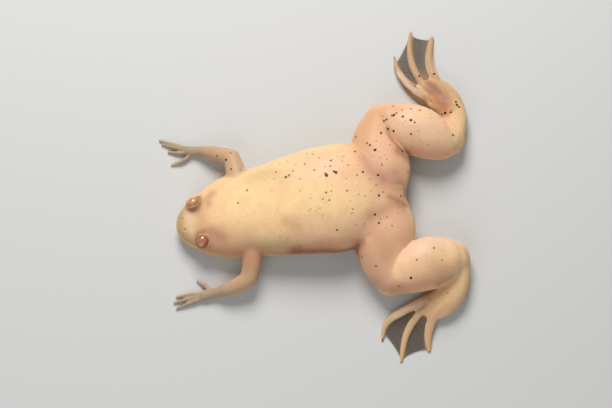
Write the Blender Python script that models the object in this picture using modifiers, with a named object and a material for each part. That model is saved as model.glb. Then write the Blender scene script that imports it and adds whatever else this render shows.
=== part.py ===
"""African clawed frog, pale form, life size: a still model that lies on its belly.

The frog looks along -X with its right side at +Y. The floor is z = 0, and the
origin is under the middle of the belly. Sizes are written in millimetres.
"""

from math import pi

import bmesh
import bpy
import numpy as np
from mathutils import Matrix, Vector

MM = 0.001
GAP = 0.3
UP = np.array((0.0, 0.0, 1.0))

# Head and trunk from snout to vent: x, y of the midline, half width, top and bottom heights.
TRUNK = np.array((
    (-39.0, -9.0, 0.0, 3.7, 3.7),
    (-37.7, -8.8, 3.9, 6.0, 2.3),
    (-35.2, -8.5, 6.8, 7.5, 1.4),
    (-32.0, -8.0, 9.0, 8.7, 0.9),
    (-28.0, -7.2, 11.5, 10.1, 0.5),
    (-22.0, -6.4, 13.4, 11.9, 0.1),
    (-14.0, -5.2, 14.3, 13.8, -0.2),
    (-5.0, -3.4, 15.7, 15.6, -0.4),
    (5.0, -1.8, 17.0, 17.0, -0.4),
    (15.0, -0.9, 17.0, 17.2, -0.2),
    (22.5, -0.5, 13.6, 15.6, 0.6),
    (28.5, -0.3, 8.0, 12.9, 2.2),
    (32.3, -0.3, 0.0, 9.0, 9.0),
))
TRUNK_RINGS = 56
TRUNK_SPOKES = 48
END_INSET = 0.02
WIDEST_AT = 0.42
BACK_POWER = 2.15
BELLY_POWER = 2.7

EYE_RADIUS = 2.0
EYE_MOUND = {"radius": 2.75, "back": 0.5, "drop": 0.8}
VENT = {"centre": (31.6, -0.3, 9.0), "radii": (1.8, 1.6, 1.4)}
NOSTRIL = {"places": ((-37.0, -7.7), (-36.4, -11.1)), "radii": (0.34, 0.44, 1.2), "sink": 0.2}
MOUTH = {"radius": 0.3, "corner": -27.5, "angle": -0.32, "points": 16}
NECK = ((-24.3, -6.9), (0.985, 0.17), 28.0)

# Limbs: x, y, z of the middle, half width and half height, from the root to the end.
# Cuts: middle and normal seen from above, and the length of the cut.
RIGHT = {
    "eye": (-33.4, -3.2, 7.8),
    "upper_arm": (
        (-19.6, 1.0, 6.9, 3.4, 3.2),
        (-20.3, 7.2, 6.3, 3.2, 3.0),
        (-21.7, 12.7, 4.9, 2.7, 2.6),
    ),
    "forearm": (
        (-22.0, 12.9, 4.8, 2.6, 2.5),
        (-28.0, 14.6, 3.2, 2.3, 2.1),
        (-32.8, 15.7, 1.7, 1.6, 1.3),
        (-35.6, 15.9, 1.3, 1.6, 1.1),
    ),
    "thigh": (
        (25.8, -1.0, 7.8, 7.2, 6.6),
        (25.2, 8.0, 7.1, 9.8, 7.2),
        (24.3, 15.5, 6.9, 8.5, 7.0),
        (24.5, 20.6, 6.1, 7.0, 6.0),
        (25.4, 24.6, 5.3, 5.2, 5.0),
    ),
    "shank": (
        (28.8, 24.6, 5.9, 5.7, 5.4),
        (32.6, 23.1, 6.4, 7.0, 6.3),
        (37.4, 20.8, 6.65, 8.0, 6.7),
        (43.2, 18.9, 6.0, 7.3, 6.0),
        (46.6, 18.4, 5.1, 5.9, 5.0),
        (48.7, 18.2, 4.5, 4.5, 4.3),
    ),
    "tarsus": (
        (49.0, 20.8, 4.2, 4.0, 3.8),
        (48.9, 26.5, 3.4, 4.2, 3.3),
        (47.3, 30.8, 3.0, 4.7, 2.9),
        (44.6, 33.9, 2.5, 5.1, 2.3),
        (41.4, 36.0, 2.0, 4.5, 1.7),
    ),
    "fingers": (
        ((-34.6, 14.9, 1.2), (-37.3, 12.6, 0.9), (-40.9, 11.4, 0.35)),
        ((-35.4, 15.4, 1.2), (-38.4, 15.2, 0.9), (-42.0, 15.6, 0.35)),
        ((-35.7, 16.0, 1.2), (-39.9, 17.0, 0.9), (-44.0, 18.1, 0.35)),
        ((-35.5, 16.5, 1.2), (-40.2, 17.9, 0.9), (-44.8, 19.4, 0.35)),
    ),
    "toes": (
        ((43.5, 29.7, 2.0), (40.7, 31.6, 1.5), (38.1, 33.4, 1.0), (36.1, 35.0, 0.5)),
        ((43.5, 30.7, 2.2), (39.7, 32.6, 1.8), (36.4, 34.9, 1.4), (33.9, 37.4, 1.0), (32.4, 39.8, 0.5)),
        (
            (43.5, 31.6, 2.6),
            (40.0, 33.6, 2.6),
            (37.1, 35.6, 2.4),
            (34.4, 38.2, 2.0),
            (32.3, 41.0, 1.6),
            (31.0, 43.8, 1.0),
            (30.6, 46.0, 0.5),
        ),
        (
            (43.8, 33.0, 2.6),
            (40.7, 35.8, 2.4),
            (38.2, 39.1, 2.0),
            (36.5, 43.1, 1.5),
            (35.5, 47.3, 1.0),
            (35.3, 51.4, 0.7),
            (35.8, 55.7, 0.36),
        ),
        (
            (45.8, 34.4, 2.6),
            (44.2, 37.8, 2.4),
            (42.7, 40.9, 2.0),
            (41.7, 44.4, 1.5),
            (41.6, 48.3, 1.0),
            (42.6, 53.9, 0.36),
        ),
    ),
    "cuts": {
        "shoulder": ((-20.8, 9.6), (-0.2, 0.98), 9.0),
        "elbow": ((-22.0, 12.9), (-0.67, 0.74), 9.0),
        "wrist": ((-32.4, 15.6), (-0.98, 0.18), 7.0),
        "hip": ((25.0, 10.0), (0.581, 0.814), 30.6),
    },
    "instep": ((47.3, 30.8), (-0.55, 0.83), 14.0),
}
LEFT = {
    "eye": (-30.3, -15.0, 8.0),
    "upper_arm": (
        (-14.5, -13.0, 6.9, 3.3, 3.1),
        (-14.8, -20.3, 6.2, 3.1, 2.9),
        (-15.9, -26.4, 4.8, 2.8, 2.6),
    ),
    "forearm": (
        (-16.3, -26.9, 4.7, 2.7, 2.5),
        (-22.1, -29.4, 3.2, 2.3, 2.1),
        (-27.0, -30.4, 1.7, 1.6, 1.3),
        (-30.2, -31.2, 1.3, 1.7, 1.1),
    ),
    "thigh": (
        (25.8, -1.0, 7.8, 7.2, 6.6),
        (26.3, -10.0, 7.1, 9.9, 7.2),
        (25.9, -17.2, 6.9, 8.6, 7.0),
        (26.9, -22.8, 6.1, 7.1, 6.0),
        (28.3, -27.0, 5.3, 5.2, 5.0),
    ),
    "shank": (
        (34.8, -23.8, 6.3, 7.7, 6.1),
        (37.8, -22.8, 6.6, 8.2, 6.5),
        (41.0, -21.8, 6.65, 8.3, 6.7),
        (44.8, -20.8, 6.1, 7.5, 6.0),
        (47.7, -20.2, 5.2, 6.2, 5.1),
        (49.6, -19.9, 4.5, 4.6, 4.4),
    ),
    "tarsus": (
        (49.8, -21.4, 4.2, 4.0, 3.8),
        (49.5, -26.7, 3.4, 3.9, 3.3),
        (47.4, -31.0, 3.0, 4.3, 2.9),
        (44.0, -33.8, 2.5, 4.6, 2.3),
        (40.6, -35.4, 2.0, 4.2, 1.7),
    ),
    "fingers": (
        ((-27.7, -30.0, 1.2), (-29.8, -28.0, 0.9), (-32.2, -26.5, 0.35)),
        ((-30.0, -30.6, 1.2), (-34.5, -30.8, 0.9), (-38.6, -31.5, 0.35)),
        ((-30.4, -31.3, 1.2), (-34.8, -32.1, 0.9), (-39.3, -33.4, 0.35)),
        ((-30.2, -31.9, 1.2), (-34.4, -33.4, 0.9), (-38.5, -35.2, 0.35)),
    ),
    "toes": (
        ((42.9, -29.9, 2.0), (40.7, -30.6, 1.5), (37.9, -31.7, 1.0), (35.6, -33.0, 0.5)),
        ((43.6, -30.4, 2.2), (39.4, -31.8, 1.8), (35.1, -33.8, 1.4), (31.8, -35.6, 1.0), (29.4, -37.6, 0.5)),
        (
            (43.8, -31.2, 2.6),
            (39.7, -32.9, 2.6),
            (35.6, -34.7, 2.4),
            (31.7, -36.6, 2.0),
            (28.5, -38.6, 1.6),
            (26.4, -41.2, 1.0),
            (25.9, -44.0, 0.5),
        ),
        (
            (44.1, -32.2, 2.6),
            (40.9, -34.1, 2.4),
            (37.8, -36.5, 2.0),
            (35.1, -39.8, 1.5),
            (33.1, -43.7, 1.1),
            (32.1, -47.7, 0.7),
            (31.5, -51.8, 0.36),
        ),
        (
            (45.6, -33.8, 2.6),
            (43.4, -35.8, 2.4),
            (41.4, -38.6, 2.0),
            (40.2, -42.2, 1.4),
            (39.9, -45.5, 0.8),
            (40.2, -48.3, 0.36),
        ),
    ),
    "cuts": {
        "shoulder": ((-14.9, -21.6), (-0.1, -0.99), 9.0),
        "elbow": ((-16.2, -26.8), (-0.6, -0.8), 9.0),
        "wrist": ((-25.6, -30.2), (-0.98, -0.2), 7.0),
        "hip": ((26.4, -10.6), (0.64, -0.768), 29.0),
    },
    "instep": ((47.6, -30.8), (-0.62, -0.78), 14.0),
}
SIDES = {"right": RIGHT, "left": LEFT}
CUT_HEIGHT = 40.0

FINGER_RADII = (0.66, 0.62, 0.4)
TOE_ROOTS = (0.7, 0.75, 0.95, 0.95, 1.05)
TOE_TIP = 0.42
CLAW = {"radii": (0.4, 0.33, 0.1), "along": (0.1, 0.8, 1.6), "heights": (0.5, 0.46, 0.2)}
CLAWED_TOES = 3
WEB = {
    "thick": 0.5,
    "start": 0.14,
    "reach": (0.9, 0.92, 0.95, 0.97, 0.97),
    "scallop": 0.02,
    "after_toes": (0, 2, 3),
}

CAP_SHARE = 0.998
TANGENT_STEP = 0.05
FEWEST_POINTS = 16
BODY_VOXEL = 0.55
SOFTENING = 5
BODY_TRIANGLES = 4600
FLOOR_SIZE = (200.0, 200.0, 20.0)
EYE_ROUGHNESS = 0.1
SKIN_ROUGHNESS = 0.4

# Linear colours by region.
COLOURS = {
    "head": (0.78, 0.57, 0.38, 1.0),
    "torso": (0.80, 0.57, 0.37, 1.0),
    "arm": (0.63, 0.43, 0.34, 1.0),
    "leg": (0.74, 0.47, 0.33, 1.0),
    "foot": (0.72, 0.50, 0.38, 1.0),
    "eye": (0.42, 0.13, 0.04, 1.0),
    "claw": (0.34, 0.24, 0.16, 1.0),
}


def clear_scene():
    for obj in list(bpy.data.objects):
        bpy.data.objects.remove(obj, do_unlink=True)


def new_collection(name):
    made = bpy.data.collections.new(name)
    bpy.context.scene.collection.children.link(made)
    return made


def give_material(obj, region, roughness):
    made = bpy.data.materials.new(f"{obj.name}_surface")
    made.use_nodes = True
    shader = made.node_tree.nodes["Principled BSDF"]
    shader.inputs["Base Color"].default_value = COLOURS[region]
    shader.inputs["Roughness"].default_value = roughness
    shader.inputs["Metallic"].default_value = 0.0
    obj.data.materials.clear()
    obj.data.materials.append(made)


def place(name, mesh, group):
    obj = bpy.data.objects.new(name, mesh)
    group.objects.link(obj)
    mesh.shade_smooth()
    return obj


def cutter(obj):
    obj.hide_render = True
    obj.display_type = "WIRE"
    return obj


# Curves and rings

def curve_through(at, knots, values):
    """Cubic pieces through the values, with slopes taken from the neighbours."""
    values = np.asarray(values, float)
    slopes = np.gradient(values, knots, axis=0)
    i = np.clip(np.searchsorted(knots, at) - 1, 0, len(knots) - 2)
    step = (knots[i + 1] - knots[i])[..., None]
    t = (at - knots[i])[..., None] / step
    return (
        (2 * t**3 - 3 * t**2 + 1) * values[i]
        + (t**3 - 2 * t**2 + t) * step * slopes[i]
        + (3 * t**2 - 2 * t**3) * values[i + 1]
        + (t**3 - t**2) * step * slopes[i + 1]
    )


def lengths_of(rows):
    steps = np.linalg.norm(np.diff(rows[:, :3], axis=0), axis=1)
    return np.concatenate(([0.0], np.cumsum(steps)))


def end_spacing(low, high, count):
    """Even angles of a half circle, so that the rings crowd at both ends."""
    return low + (high - low) * (1 - np.cos(np.linspace(0, pi, count))) / 2


def super_ring(angles, power):
    cosine, sine = np.cos(angles), np.sin(angles)
    return (
        np.sign(cosine) * np.abs(cosine) ** (2 / power),
        np.sign(sine) * np.abs(sine) ** (2 / power),
    )


def mesh_from_rings(rings):
    """Closed mesh over an array of rings, with a point at the middle of each end."""
    count, around = rings.shape[:2]
    ends = [rings[0].mean(axis=0), rings[-1].mean(axis=0)]
    points = np.concatenate((rings.reshape(-1, 3), ends))
    ring, spoke = np.meshgrid(np.arange(count - 1), np.arange(around), indexing="ij")
    here = ring * around + spoke
    beside = ring * around + (spoke + 1) % around
    walls = np.stack((here, beside, beside + around, here + around), axis=-1).reshape(-1, 4)
    spokes = np.arange(around)
    after = (spokes + 1) % around
    last = (count - 1) * around
    first_cap = np.stack((np.full(around, count * around), after, spokes), axis=-1)
    last_cap = np.stack((np.full(around, count * around + 1), last + spokes, last + after), axis=-1)
    faces = walls.tolist() + first_cap.tolist() + last_cap.tolist()
    mesh = bpy.data.meshes.new("form")
    mesh.from_pydata((points * MM).tolist(), [], faces)
    mesh.update()
    return mesh


def trunk_points(x, angles):
    """Skin points at each x and angle: 0 is the right flank, a quarter turn is the back."""
    knots = TRUNK[:, 0]
    widest = TRUNK[:, 4] + WIDEST_AT * (TRUNK[:, 3] - TRUNK[:, 4])
    middle = curve_through(x, knots, np.stack((TRUNK[:, 1], widest), axis=1))
    squares = np.stack((TRUNK[:, 2], TRUNK[:, 3] - widest, widest - TRUNK[:, 4]), axis=1) ** 2
    sizes = np.sqrt(np.maximum(curve_through(x, knots, squares), 0.0))
    back = super_ring(angles, BACK_POWER)
    belly = super_ring(angles, BELLY_POWER)
    upper = np.sin(angles) >= 0
    across = sizes[:, :1] * np.where(upper, back[0], belly[0])
    height = np.where(upper, sizes[:, 1:2] * back[1], sizes[:, 2:] * belly[1])
    along = np.broadcast_to(x[:, None], across.shape)
    return np.stack((along, middle[:, :1] + across, middle[:, 1:] + height), axis=-1)


def skin_height(x, y):
    """Height of the back over a point of the plan."""
    arch = trunk_points(np.array([x]), np.linspace(pi, 0, 181))[0]
    return float(np.interp(y, arch[:, 1], arch[:, 2]))


def trunk_form(group):
    x = end_spacing(TRUNK[0, 0] + END_INSET, TRUNK[-1, 0] - END_INSET, TRUNK_RINGS)
    angles = np.linspace(0, 2 * pi, TRUNK_SPOKES, endpoint=False)
    return place("trunk_form", mesh_from_rings(trunk_points(x, angles)), group)


def swept_form(name, rows, group, count=18, around=20, grow=0.0):
    """Oval rings along a smooth path, with a half ball at each end."""
    rows = np.asarray(rows, float)
    rows[:, 3:] += grow
    knots = lengths_of(rows)
    start_cap, end_cap = rows[[0, -1], 3:].mean(axis=1)
    at = end_spacing(-start_cap * CAP_SHARE, knots[-1] + end_cap * CAP_SHARE, count)
    held = np.clip(at, 0.0, knots[-1])
    there = curve_through(held, knots, rows)
    ahead = curve_through(np.clip(held + TANGENT_STEP, 0, knots[-1]), knots, rows)
    behind = curve_through(np.clip(held - TANGENT_STEP, 0, knots[-1]), knots, rows)
    forward = (ahead - behind)[:, :3]
    forward /= np.linalg.norm(forward, axis=1)[:, None]
    side = np.cross(UP, forward)
    side /= np.linalg.norm(side, axis=1)[:, None]
    rise = np.cross(forward, side)
    past = at - held
    shrink = np.sqrt(1 - (past / np.where(past < 0, start_cap, end_cap)) ** 2)
    angles = np.linspace(0, 2 * pi, around, endpoint=False)
    middle = there[:, :3] + past[:, None] * forward
    across = (there[:, 3] * shrink)[:, None] * np.cos(angles)
    height = (there[:, 4] * shrink)[:, None] * np.sin(angles)
    rings = middle[:, None] + across[..., None] * side[:, None] + height[..., None] * rise[:, None]
    return place(name, mesh_from_rings(rings), group)


# Plain solids

def ball(name, centre, radii, group, segments=16, rings=10):
    mesh = bpy.data.meshes.new(name)
    builder = bmesh.new()
    bmesh.ops.create_uvsphere(builder, u_segments=segments, v_segments=rings, radius=MM)
    size = radii if np.ndim(radii) else (radii,) * 3
    builder.transform(Matrix.Translation(Vector(centre) * MM) @ Matrix.Diagonal((*size, 1.0)))
    builder.to_mesh(mesh)
    builder.free()
    return place(name, mesh, group)


def block(name, centre, size, normal, group):
    """Box whose first side lies along the normal, seen from above."""
    mesh = bpy.data.meshes.new(name)
    builder = bmesh.new()
    bmesh.ops.create_cube(builder, size=1.0)
    along = Vector((normal[0], normal[1], 0.0)).normalized()
    across = Vector((-along.y, along.x, 0.0))
    turn = Matrix((along, across, Vector((0, 0, 1)))).transposed().to_4x4()
    scale = Matrix.Diagonal((*(value * MM for value in size), 1.0))
    builder.transform(Matrix.Translation(Vector(centre) * MM) @ turn @ scale)
    builder.to_mesh(mesh)
    builder.free()
    return cutter(place(name, mesh, group))


def cut_plate(name, cut, group):
    middle, normal, length = cut
    return block(name, (*middle, 0.0), (GAP, length, CUT_HEIGHT), normal, group)


def floor_block(group):
    return block("floor_cutter", -UP * FLOOR_SIZE[2] / 2, FLOOR_SIZE, (1, 0), group)


# Joining and parting

def applied(obj):
    graph = bpy.context.evaluated_depsgraph_get()
    mesh = bpy.data.meshes.new_from_object(obj.evaluated_get(graph))
    obj.modifiers.clear()
    obj.data = mesh
    return obj


def melted(name, forms, triangles, group):
    """One smooth closed skin over forms that pass through each other."""
    builder = bmesh.new()
    for form in forms:
        builder.from_mesh(form.data)
        bpy.data.objects.remove(form, do_unlink=True)
    mesh = bpy.data.meshes.new(name)
    builder.to_mesh(mesh)
    builder.free()
    obj = place(name, mesh, group)
    remesh = obj.modifiers.new("melt", "REMESH")
    remesh.mode = "VOXEL"
    remesh.voxel_size = BODY_VOXEL * MM
    smooth = obj.modifiers.new("soften", "SMOOTH")
    smooth.factor = 0.5
    smooth.iterations = SOFTENING
    applied(obj)
    thin = obj.modifiers.new("thin_out", "DECIMATE")
    thin.ratio = triangles / (2 * len(obj.data.polygons))
    return applied(obj)


def boolean(obj, operation, group, solver="EXACT"):
    modifier = obj.modifiers.new(operation.lower(), "BOOLEAN")
    modifier.operation = operation
    modifier.solver = solver
    modifier.operand_type = "COLLECTION"
    modifier.collection = group
    return applied(obj)


def united(obj, forms, forms_group):
    """Joins forms that lie alone in a collection to the object, and removes them."""
    boolean(obj, "UNION", forms_group, "MANIFOLD")
    for form in forms:
        bpy.data.objects.remove(form, do_unlink=True)
    return obj


def pieces_of(obj, group):
    """The closed pieces of a cut mesh, each as its own object."""
    mesh = obj.data
    points = np.array([vertex.co for vertex in mesh.vertices])
    edges = np.array([edge.vertices for edge in mesh.edges])
    labels = np.arange(len(points))
    before = None
    while before is None or (before != labels).any():
        before = labels.copy()
        low = labels[edges].min(axis=1)
        np.minimum.at(labels, edges[:, 0], low)
        np.minimum.at(labels, edges[:, 1], low)
    pieces = []
    for label in np.unique(labels):
        members = np.flatnonzero(labels == label)
        numbers = {int(old): new for new, old in enumerate(members)}
        faces = [
            [numbers[v] for v in face.vertices]
            for face in mesh.polygons
            if labels[face.vertices[0]] == label
        ]
        piece = bpy.data.meshes.new("piece")
        piece.from_pydata(points[members].tolist(), [], faces)
        piece.update()
        pieces.append(place("piece", piece, group))
    bpy.data.objects.remove(obj, do_unlink=True)
    return pieces


def middle_of(obj):
    points = np.array([vertex.co for vertex in obj.data.vertices]) / MM
    return (points.min(axis=0) + points.max(axis=0)) / 2


def named_pieces(pieces, seeds):
    """Gives each name to the piece whose middle lies nearest its seed, and removes scraps."""
    spare = [piece for piece in pieces if len(piece.data.vertices) >= FEWEST_POINTS]
    found = {}
    for name, seed in seeds.items():
        chosen = min(spare, key=lambda piece: np.linalg.norm(middle_of(piece)[:2] - seed))
        spare.remove(chosen)
        chosen.name = name
        found[name] = chosen
    for piece in set(pieces) - set(found.values()):
        bpy.data.objects.remove(piece, do_unlink=True)
    return found


# Parts of the frog

def near_root(rows):
    """A point seen from above, halfway between the first row and the second."""
    return (np.array(rows[0][:2]) + rows[1][:2]) / 2


def shank_form(name, limbs, group, grow=0.0):
    return swept_form(name, limbs["shank"], group, count=20, around=20, grow=grow)


def body_pieces(parts, cutters, shanks):
    forms = [trunk_form(parts), ball("vent_form", VENT["centre"], VENT["radii"], parts)]
    seeds = {"head": (-31.5, -8.2), "torso": (4.0, -2.5)}
    cut_plate("neck_cutter", NECK, cutters)
    floor_block(cutters)
    for side, limbs in SIDES.items():
        x, y, z = limbs["eye"]
        mound = (x + EYE_MOUND["back"], y, z - EYE_MOUND["drop"])
        forms.append(ball(f"mound_{side}", mound, EYE_MOUND["radius"], parts))
        for limb in ("upper_arm", "forearm", "thigh"):
            forms.append(swept_form(f"{limb}_form_{side}", limbs[limb], parts))
            seeds[f"{limb}_{side}"] = near_root(limbs[limb])
        seeds[f"hand_{side}"] = limbs["forearm"][-1][:2]
        for name, cut in limbs["cuts"].items():
            cut_plate(f"{name}_cutter_{side}", cut, cutters)
        cutter(shank_form(f"shank_cutter_{side}", limbs, shanks, GAP))
    body = melted("body", forms, BODY_TRIANGLES, parts)
    boolean(body, "DIFFERENCE", shanks)
    boolean(body, "DIFFERENCE", cutters)
    return named_pieces(pieces_of(body, parts), seeds)


def mouth_path():
    """Line just under the widest part of the head, from one corner round the snout to the other."""
    snout = TRUNK[0, 0] + END_INSET
    x = snout + (MOUTH["corner"] - snout) * np.linspace(0, 1, MOUTH["points"]) ** 2
    right = trunk_points(x, np.array([MOUTH["angle"]]))[:, 0]
    left = trunk_points(x, np.array([pi - MOUTH["angle"]]))[:, 0]
    path = np.concatenate((right[::-1], left[1:]))
    return np.column_stack((path, np.full((len(path), 2), MOUTH["radius"])))


def finish_head(head):
    """Opens the eye sockets, the nostrils and the line of the mouth."""
    group = new_collection("head_cutters")
    for side, limbs in SIDES.items():
        cutter(ball(f"socket_{side}", limbs["eye"], EYE_RADIUS + GAP, group))
    for number, (x, y) in enumerate(NOSTRIL["places"]):
        centre = (x, y, skin_height(x, y) - NOSTRIL["sink"])
        cutter(ball(f"nostril_{number}", centre, NOSTRIL["radii"], group, segments=10, rings=8))
    cutter(swept_form("mouth_cutter", mouth_path(), group, count=44, around=6))
    boolean(head, "DIFFERENCE", group)


def finish_hand(hand, side, fingers, ground):
    group = new_collection(f"fingers_{side}")
    forms = []
    for number, path in enumerate(fingers):
        rows = [(*point, radius, radius) for point, radius in zip(path, FINGER_RADII)]
        forms.append(swept_form(f"finger_{side}_{number}", rows, group, count=12, around=8))
    united(hand, forms, group)
    boolean(hand, "DIFFERENCE", ground, "MANIFOLD")


def toe_rows(number, path):
    radii = np.linspace(TOE_ROOTS[number], TOE_TIP, len(path))
    return [(*point, radius, radius) for point, radius in zip(path, radii)]


def web_form(name, inner, outer, reach, group, lengthwise=8, across=4):
    """Thin sheet between two toes, with a hollow free edge."""
    paths = [np.asarray(path, float) for path in (inner, outer)]
    knots = [lengths_of(path) for path in paths]
    u, v = np.meshgrid(
        np.linspace(WEB["start"], 1, lengthwise + 1), np.linspace(0, 1, across + 1), indexing="ij"
    )
    hollow = 1 - WEB["scallop"] * 4 * v * (1 - v)
    lines = [
        curve_through(u * hollow * part * knot[-1], knot, path)
        for part, knot, path in zip(reach, knots, paths)
    ]
    middle = (lines[0] * (1 - v[..., None]) + lines[1] * v[..., None]).reshape(-1, 3)
    lift = UP * WEB["thick"] / 2
    points = np.concatenate((middle + lift, middle - lift))
    number = np.arange((lengthwise + 1) * (across + 1)).reshape(lengthwise + 1, across + 1)
    a, b = number[:-1, :-1].ravel(), number[1:, :-1].ravel()
    c, d = number[1:, 1:].ravel(), number[:-1, 1:].ravel()
    top = np.concatenate((np.stack((a, b, c), axis=1), np.stack((a, c, d), axis=1)))
    rim = np.concatenate((number[:, 0], number[-1, 1:], number[-2::-1, -1], number[0, -2:0:-1]))
    beyond = np.roll(rim, -1)
    low = number.size
    walls = np.stack((rim, rim + low, beyond + low, beyond), axis=1)
    mesh = bpy.data.meshes.new(name)
    faces = top.tolist() + (top[:, ::-1] + low).tolist() + walls.tolist()
    mesh.from_pydata((points * MM).tolist(), [], faces)
    builder = bmesh.new()
    builder.from_mesh(mesh)
    bmesh.ops.recalc_face_normals(builder, faces=builder.faces)
    builder.to_mesh(mesh)
    builder.free()
    return place(name, mesh, group)


def leg_pieces(side, limbs, parts, shanks, ground):
    """Shank, tarsus and foot. The tarsus ends against the shank, and a thin cut parts it from the foot."""
    shank = shank_form(f"shank_{side}", limbs, parts)
    boolean(shank, "DIFFERENCE", ground, "MANIFOLD")
    group = new_collection(f"instep_cutters_{side}")
    cut_plate(f"instep_cutter_{side}", limbs["instep"], group)
    tarsus = swept_form(f"tarsus_form_{side}", limbs["tarsus"], parts, count=20, around=18)
    for cutters in (shanks, ground, group):
        boolean(tarsus, "DIFFERENCE", cutters, "MANIFOLD")
    seeds = {
        f"tarsus_{side}": limbs["tarsus"][1][:2],
        f"foot_{side}": limbs["tarsus"][-1][:2],
    }
    return {f"shank_{side}": shank} | named_pieces(pieces_of(tarsus, parts), seeds)


def claw(name, path, group, grow=0.0):
    """Short cone that goes on from the end of a toe and bends down towards the floor."""
    end = np.array(path[-1], float)
    forward = end - np.array(path[-2], float)
    forward[2] = 0.0
    forward /= np.linalg.norm(forward)
    rows = []
    for along, height, radius in zip(CLAW["along"], CLAW["heights"], CLAW["radii"]):
        x, y, _ = end + forward * along
        rows.append((x, y, height, radius, radius))
    return swept_form(name, rows, group, count=9, around=8, grow=grow)


def finish_foot(foot, side, toes, ground):
    group = new_collection(f"toes_{side}")
    claw_room = new_collection(f"claw_cutters_{side}")
    forms = []
    for number, path in enumerate(toes):
        rows = toe_rows(number, path)
        forms.append(swept_form(f"toe_{side}_{number}", rows, group, count=16, around=8))
    for number in WEB["after_toes"]:
        reach = WEB["reach"][number : number + 2]
        name = f"web_{side}_{number}"
        forms.append(web_form(name, toes[number], toes[number + 1], reach, group))
    for number in range(CLAWED_TOES):
        cutter(claw(f"claw_cutter_{side}_{number}", toes[number], claw_room, GAP))
    united(foot, forms, group)
    boolean(foot, "DIFFERENCE", ground, "MANIFOLD")
    boolean(foot, "DIFFERENCE", claw_room, "MANIFOLD")


def build_frog():
    parts = new_collection("african_clawed_frog")
    cutters = new_collection("body_cutters")
    shanks = new_collection("shank_cutters")
    ground = new_collection("ground_cutters")
    floor_block(ground)
    pieces = body_pieces(parts, cutters, shanks)
    finish_head(pieces["head"])
    for side, limbs in SIDES.items():
        pieces |= leg_pieces(side, limbs, parts, shanks, ground)
        finish_hand(pieces[f"hand_{side}"], side, limbs["fingers"], ground)
        finish_foot(pieces[f"foot_{side}"], side, limbs["toes"], ground)
        pieces[f"eye_{side}"] = ball(f"eye_{side}", limbs["eye"], EYE_RADIUS, parts)
        for number in range(CLAWED_TOES):
            name = f"claw_{side}_{number + 1}"
            pieces[name] = claw(name, limbs["toes"][number], parts)
    regions = {
        "head": "head",
        "torso": "torso",
        "upper": "arm",
        "forearm": "arm",
        "hand": "arm",
        "thigh": "leg",
        "shank": "leg",
        "tarsus": "leg",
        "foot": "foot",
        "eye": "eye",
        "claw": "claw",
    }
    for name, piece in pieces.items():
        region = regions[name.split("_")[0]]
        give_material(piece, region, EYE_ROUGHNESS if region == "eye" else SKIN_ROUGHNESS)


clear_scene()
build_frog()
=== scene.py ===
from math import cos, pi, radians, sin

import bmesh
import bpy
import numpy as np
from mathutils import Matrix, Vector


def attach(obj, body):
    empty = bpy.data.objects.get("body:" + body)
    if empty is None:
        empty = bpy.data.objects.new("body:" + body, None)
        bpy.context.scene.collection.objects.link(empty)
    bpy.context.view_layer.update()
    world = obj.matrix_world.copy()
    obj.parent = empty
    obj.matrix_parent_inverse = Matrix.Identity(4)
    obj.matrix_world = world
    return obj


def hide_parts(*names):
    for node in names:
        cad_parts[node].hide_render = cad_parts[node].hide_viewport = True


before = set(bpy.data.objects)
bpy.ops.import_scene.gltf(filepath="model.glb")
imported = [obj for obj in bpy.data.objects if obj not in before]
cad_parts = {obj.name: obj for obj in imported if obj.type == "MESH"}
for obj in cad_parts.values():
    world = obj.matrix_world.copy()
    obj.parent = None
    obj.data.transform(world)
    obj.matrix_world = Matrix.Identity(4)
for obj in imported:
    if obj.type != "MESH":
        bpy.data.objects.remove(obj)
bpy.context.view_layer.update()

mm = 0.001  # every size below is in millimetres, and becomes metres with the mesh
up = np.array((0.0, 0.0, 1.0))


def lengthsOf(vectors):
    return np.linalg.norm(vectors, axis=-1)


def unitOf(vectors):
    return np.asarray(vectors, float) / np.linalg.norm(vectors, axis=-1, keepdims=True)


def anglesFrom(direction, units):
    return np.arccos(np.clip(units @ direction, -1, 1))


def turnsOf(count):
    return np.linspace(0, 2 * pi, count, endpoint=False)


def smoothStep(low, high, value):
    t = np.clip((value - low) / (high - low), 0, 1)
    return t * t * (3 - 2 * t)


def hill(distance, width):
    return np.exp(-((distance / width) ** 2))


def curveThrough(at, knots, values):
    # Cubic pieces, each a mix of the values and slopes at its two ends
    values = np.asarray(values, float)
    slopes = np.gradient(values, knots, axis=0)
    i = np.clip(np.searchsorted(knots, at) - 1, 0, len(knots) - 2)
    step = (knots[i + 1] - knots[i])[..., None]
    t = (at - knots[i])[..., None] / step
    return (
        (2 * t**3 - 3 * t**2 + 1) * values[i]
        + (t**3 - 2 * t**2 + t) * step * slopes[i]
        + (3 * t**2 - 2 * t**3) * values[i + 1]
        + (t**3 - t**2) * step * slopes[i + 1]
    )


def lengthsAlong(rows):
    steps = lengthsOf(np.diff(np.asarray(rows, float)[:, :3], axis=0))
    return np.concatenate(([0.0], np.cumsum(steps)))


def crowdedEnds(low, high, count):
    # A half circle's points seen from the side: close together at both ends
    return low + (high - low) * (1 - np.cos(np.linspace(0, pi, count))) / 2


sweep = {"capShare": 0.998, "slopeStep": 0.05}  # how far the half balls close, and a step along


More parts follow.
